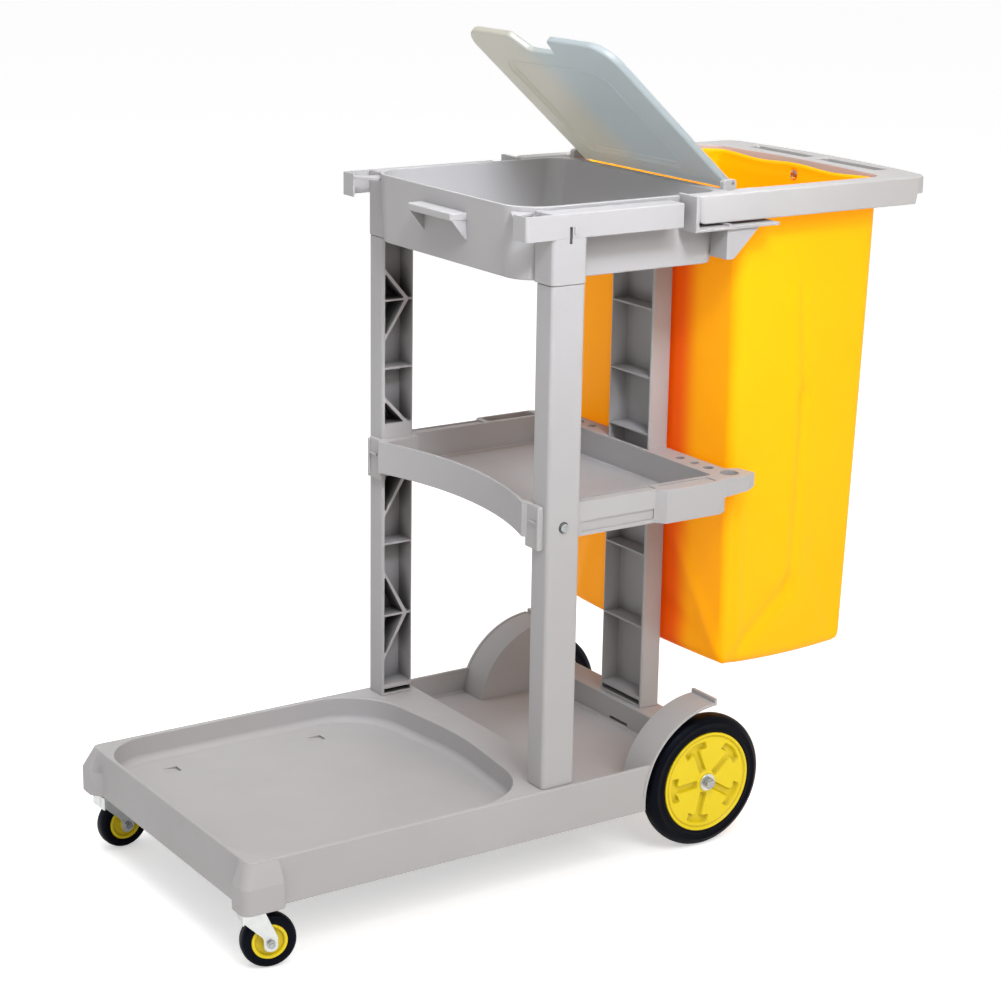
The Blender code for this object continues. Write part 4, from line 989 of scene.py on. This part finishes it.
bag = {
    "side": 0.1965,
    "lowSide": 0.1920,
    "front": 0.2640,
    "rear": (0.5250, 0.4970),        # at the top and at the bottom
    "top": 0.9690,
    "low": 0.2620,
    "cornerRadius": (0.026, 0.012),
    "columns": (22, 6, 44, 6, 60, 6, 44, 6, 22),
    "wallRows": 130,
    "floorRows": 16,
    "hem": 0.020,
    "thick": 0.0015,
    # folds: face, from and to as (share along the face, height), half width and height out of the face, in mm
    "foldScale": 1.9,
    "folds": (
        ("right", (0.46, 0.820), (0.53, 0.660), 9, -2.2),
        ("right", (0.53, 0.660), (0.52, 0.360), 11, -2.8),
        ("right", (0.44, 0.800), (0.50, 0.400), 26, 2.2),
        ("right", (0.04, 0.275), (0.50, 0.370), 12, -2.4),
        ("right", (0.06, 0.285), (0.02, 0.500), 10, 2.2),
        ("right", (0.95, 0.290), (0.70, 0.420), 14, -1.6),
        ("front", (0.98, 0.290), (0.62, 0.480), 14, 2.0),
        ("front", (0.80, 0.300), (0.40, 0.360), 18, -1.8),
        ("front", (0.03, 0.300), (0.25, 0.520), 16, 1.6),
        ("rear", (0.10, 0.820), (0.30, 0.420), 20, 2.4),
        ("rear", (0.62, 0.860), (0.55, 0.380), 24, -2.6),
        ("rear", (0.92, 0.300), (0.70, 0.520), 16, 2.0),
        ("left", (0.48, 0.820), (0.52, 0.400), 14, -2.4),
        ("left", (0.95, 0.280), (0.55, 0.380), 14, 2.0),
    ),
    "hooks": ((0.395, 0.1965, 90), (0.395, -0.1965, -90), (0.2640, 0.0, 180), (0.5245, 0.0, 0)),
    "hookZ": 0.950,
}


def ringPoint(column, x0, x1, half, radius):
    # walks round a rounded rectangle from the middle of its front; gives the place, the way out, the face and the
    # share along that face
    faces = ("front", "corner", "right", "corner", "rear", "corner", "left", "corner", "front")
    corners = ((x0 + radius, -half + radius, 180), (x1 - radius, -half + radius, 270),
               (x1 - radius, half - radius, 0),
               (x0 + radius, half - radius, 90))
    straight = ((x0, 0, x0, -half + radius), (x0 + radius, -half, x1 - radius, -half),
                (x1, -half + radius, x1, half - radius), (x1 - radius, half, x0 + radius, half),
                (x0, half - radius, x0, 0))
    outward = (Vector((-1, 0)), Vector((0, -1)), Vector((1, 0)), Vector((0, 1)), Vector((-1, 0)))
    for number, count in enumerate(bag["columns"]):
        if column <= count:
            break
        column -= count
    share = column / count
    if number % 2:
        cx, cy, start = corners[number // 2]
        out = Matrix.Rotation(math.radians(start + 90 * share), 2) @ Vector((1, 0))
        return Vector((cx, cy)) + out * radius, out, faces[number], share
    ax, ay, bx, by = straight[number // 2]
    if number in (0, 8):
        share = 0.5 + share / 2 if number == 0 else share / 2
        place = Vector((ax, ay)).lerp(Vector((bx, by)), column / count)
        return place, outward[number // 2], "front", share
    return Vector((ax, ay)).lerp(Vector((bx, by)), share), outward[number // 2], faces[number], share


def foldDepth(face, share, z, length):
    depth = 0
    for name, start, end, width, out in bag["folds"]:
        if name != face:
            continue
        here = Vector((share * length, z))
        a, b = Vector((start[0] * length, start[1])), Vector((end[0] * length, end[1]))
        along = max(-0.15, min(1.15, (here - a).dot(b - a) / (b - a).length_squared))
        near = (here - a.lerp(b, max(0, min(1, along)))).length
        depth += bag["foldScale"] * out / 1000 * math.exp(-(near / (width / 1000)) ** 2)
    return depth


def bagPoint(column, row):
    g = bag
    down = min(1.0, row / g["wallRows"])
    z = g["top"] + (g["low"] - g["top"]) * down
    rear = g["rear"][0] + (g["rear"][1] - g["rear"][0]) * down
    half = g["side"] + (g["lowSide"] - g["side"]) * down
    radius = g["cornerRadius"][0] + (g["cornerRadius"][1] - g["cornerRadius"][0]) * down ** 0.5
    place, out, face, share = ringPoint(column, g["front"], rear, half, radius)
    hanging = math.sin(math.pi * down) ** 0.8
    length = {"front": 0.39, "rear": 0.39, "left": 0.26, "right": 0.26, "corner": 0.04}[face]
    middle = 1 - (2 * share - 1) ** 2 if face != "corner" else 0
    # the cloth hangs slack: it bellies out low down, more on the end than towards the post
    belly = {"front": 0.0010, "rear": 0.0055, "left": 0.0035, "right": 0.0030, "corner": 0}[face]
    shift = belly * middle * hanging * (0.4 + down) + foldDepth(face, share, z, length)
    shift -= 0.0016 * middle * max(0, 1 - down / 0.10)
    if down * (g["top"] - g["low"]) < g["hem"]:
        shift += 0.0007
    # the top edge dips a little between the hooks
    dip = 0.0035 * (math.sin(math.pi * 2 * share) ** 2 if face != "corner" else 0) * max(0, 1 - down / 0.06)
    # the front edge stays below the lid's hinge
    dip += 0.006 * max(0, 1 - (place.x - g["front"]) / 0.04) * max(0, 1 - down / 0.15)
    # rounded turn into the floor
    turn = max(0, 1 - (z - g["low"]) / 0.016)
    shift -= 0.016 * (1 - math.sqrt(1 - min(1, turn) ** 2)) * 0.6
    place = place + out * shift
    sink = max(0, row - g["wallRows"]) / g["floorRows"]
    centre = Vector(((g["front"] + g["rear"][1]) / 2, 0))
    place = place.lerp(centre, sink)
    z -= dip + 0.0065 * (1 - (1 - sink) ** 2) + 0.0040 * middle * max(0, 1 - abs(1 - down) / 0.05)
    return (place.x, place.y, z)


def makeBag():
    g = bag
    columns, rows = sum(g["columns"]), g["wallRows"] + g["floorRows"]
    bm = bmesh.new()
    bm.loops.layers.uv.new("bagCloth")
    bmesh.ops.create_grid(bm, x_segments=columns, y_segments=rows, size=0.5, calc_uvs=True)
    layer = bm.loops.layers.uv["bagCloth"]
    around, tall = 1.30, g["top"] - g["low"] + 0.2
    for piece in bm.faces:
        for loop in piece.loops:
            loop[layer].uv = (loop[layer].uv.x * around, loop[layer].uv.y * tall)
    for v in bm.verts:
        v.co = bagPoint(round((v.co.x + 0.5) * columns), round((0.5 - v.co.y) * rows))
    bmesh.ops.remove_doubles(bm, verts=bm.verts, dist=0.00005)
    holes = [f for f in bm.faces if any((f.calc_center_median() - Vector((x, y, g["hookZ"]))).length < 0.0062
                                        for x, y, degrees in g["hooks"])]
    bmesh.ops.delete(bm, geom=holes, context="FACES")
    bmesh.ops.recalc_face_normals(bm, faces=bm.faces)
    piece = finishPiece(bm, "cart_bag", bagVinyl, "cart", ("bag",), 60)
    cloth = piece.modifiers.new("clothThickness", "SOLIDIFY")
    cloth.thickness = g["thick"]
    cloth.offset = -1
    for number, (x, y, degrees) in enumerate(g["hooks"]):
        ring = turned([(0.0046, 0.0), (0.0044, 0.0009), (0.0052, 0.0014), (0.0082, 0.0006), (0.0088, 0.0),
                       (0.0082, -0.0026), (0.0052, -0.0034), (0.0044, -0.0029)], True, 40)
        bmesh.ops.rotate(ring, matrix=Matrix.Rotation(math.radians(degrees), 3, "Z")
                         @ Matrix.Rotation(math.radians(90), 3, "Y"), verts=ring.verts)
        bmesh.ops.translate(ring, vec=(x, y, g["hookZ"]), verts=ring.verts)
        finishPiece(ring, f"cart_grommet_{number}", steel, "cart")


makeDeck()
makeFrontPost("left")
makeFrontPost("right")
makeRearPost()
makeShelf()
makeTray()
makeBagFrame()
print("mouldings made")
makeLid()
for word in sides:
    makeWheel(word)
    makeCaster(word)
print("lid, wheels and casters made")
makeBag()
print("bag made")

looks = {"deck_plastic": deckPlastic, "rail_plastic": railPlastic, "lid_plastic": lidPlastic,
         "bag_vinyl": bagVinyl,
         "tyre_rubber": tyreRubber, "hub_plastic": hubPlastic, "zinc_steel": zincSteel, "bright_steel": steel}
for part in frame["record"]["subparts"]:
    node = nodes[part["node"]]
    node.data.materials.clear()
    node.data.materials.append(looks[part["material_slot"]])
print("remaining nodes dressed")

camera = {
    "aim": (-0.12217, -0.14773, 0.56051),
    "azimuth": -33.70,
    "elevation": 15.85,
    "roll": 0.92,
    "distance": 3.31681,
    "lens": 86.32,
}


def makeCamera():
    azimuth, elevation, roll = (math.radians(camera[k]) for k in ("azimuth", "elevation", "roll"))
    back = Vector((math.sin(azimuth) * math.cos(elevation), -math.cos(azimuth) * math.cos(elevation),
                   math.sin(elevation)))
    right = Vector((math.cos(azimuth), math.sin(azimuth), 0))
    up = back.cross(right)
    rolledRight = right * math.cos(roll) + up * math.sin(roll)
    rolledUp = up * math.cos(roll) - right * math.sin(roll)
    data = bpy.data.cameras.new("viewer")
    data.lens = camera["lens"]
    data.sensor_width = 36
    viewer = bpy.data.objects.new("viewer", data)
    turn = Matrix((rolledRight, rolledUp, back)).transposed().to_4x4()
    viewer.matrix_world = Matrix.Translation(Vector(camera["aim"]) + back * camera["distance"]) @ turn
    bpy.context.scene.collection.objects.link(viewer)
    bpy.context.scene.camera = viewer


def addAreaLight(name, place, aim, size, power, colour, spreadDegrees=180):
    data = bpy.data.lights.new(name, "AREA")
    data.shape = "RECTANGLE"
    data.size, data.size_y = size
    data.energy = power
    data.spread = math.radians(spreadDegrees)
    data.color = toLinear(colour)[:3]
    light = bpy.data.objects.new(name, data)
    light.location = place
    light.rotation_euler = (Vector(aim) - Vector(place)).to_track_quat("-Z", "Y").to_euler()
    bpy.context.scene.collection.objects.link(light)


studio = {
    "floorColour": "#F4F4F4",
    "worldColour": "#FFFFFF",
    "worldStrength": 0.57,
    "floorGlow": 0.46,
}


def makeStudio():
    bm = bmesh.new()
    bmesh.ops.create_grid(bm, x_segments=1, y_segments=1, size=30)
    mesh = bpy.data.meshes.new("studio_floor")
    bm.to_mesh(mesh)
    bm.free()
    material, tree, shader, place = newMaterial("studio_paper", {"Roughness": 0.9, "Specular IOR Level": 0.1})
    shader.inputs["Base Color"].default_value = toLinear(studio["floorColour"])
    # the paper is burnt out to white for the viewer, without lighting the cart from below
    path = addNode(tree, "ShaderNodeLightPath")
    glow = addNode(tree, "ShaderNodeMath", {"operation": "MULTIPLY", 1: studio["floorGlow"]},
                   {0: path.outputs["Is Camera Ray"]})
    shader.inputs["Emission Color"].default_value = (1, 1, 1, 1)
    tree.links.new(glow.outputs["Value"], shader.inputs["Emission Strength"])
    mesh.materials.append(material)
    floor = bpy.data.objects.new("studio_floor", mesh)
    floor.location.z = -0.0005
    bpy.context.scene.collection.objects.link(floor)
    world = bpy.data.worlds.new("studio_world")
    world.use_nodes = True
    background = world.node_tree.nodes["Background"]
    background.inputs["Color"].default_value = toLinear(studio["worldColour"])
    background.inputs["Strength"].default_value = studio["worldStrength"]
    bpy.context.scene.world = world
    addAreaLight("key_light", (-0.2, -3.1, 3.1), (0, 0, 0.5), (2.2, 2.2), 78, "#FFFCF8")
    addAreaLight("top_light", (-0.5, -0.1, 3.6), (0, 0, 0.5), (2.6, 2.6), 60, "#FFFFFF")
    addAreaLight("front_light", (-3.0, -1.0, 2.7), (0, 0, 0.8), (2.0, 2.0), 4, "#EAF1FF")
    addAreaLight("tray_light", (-0.45, -1.5, 2.3), (-0.02, 0.08, 0.92), (0.5, 0.5), 2.1, "#EEF3FF", 36)


makeCamera()
makeStudio()
bpy.context.scene.view_settings.view_transform = "Standard"    # shows the plastic's own colours
print("studio made")
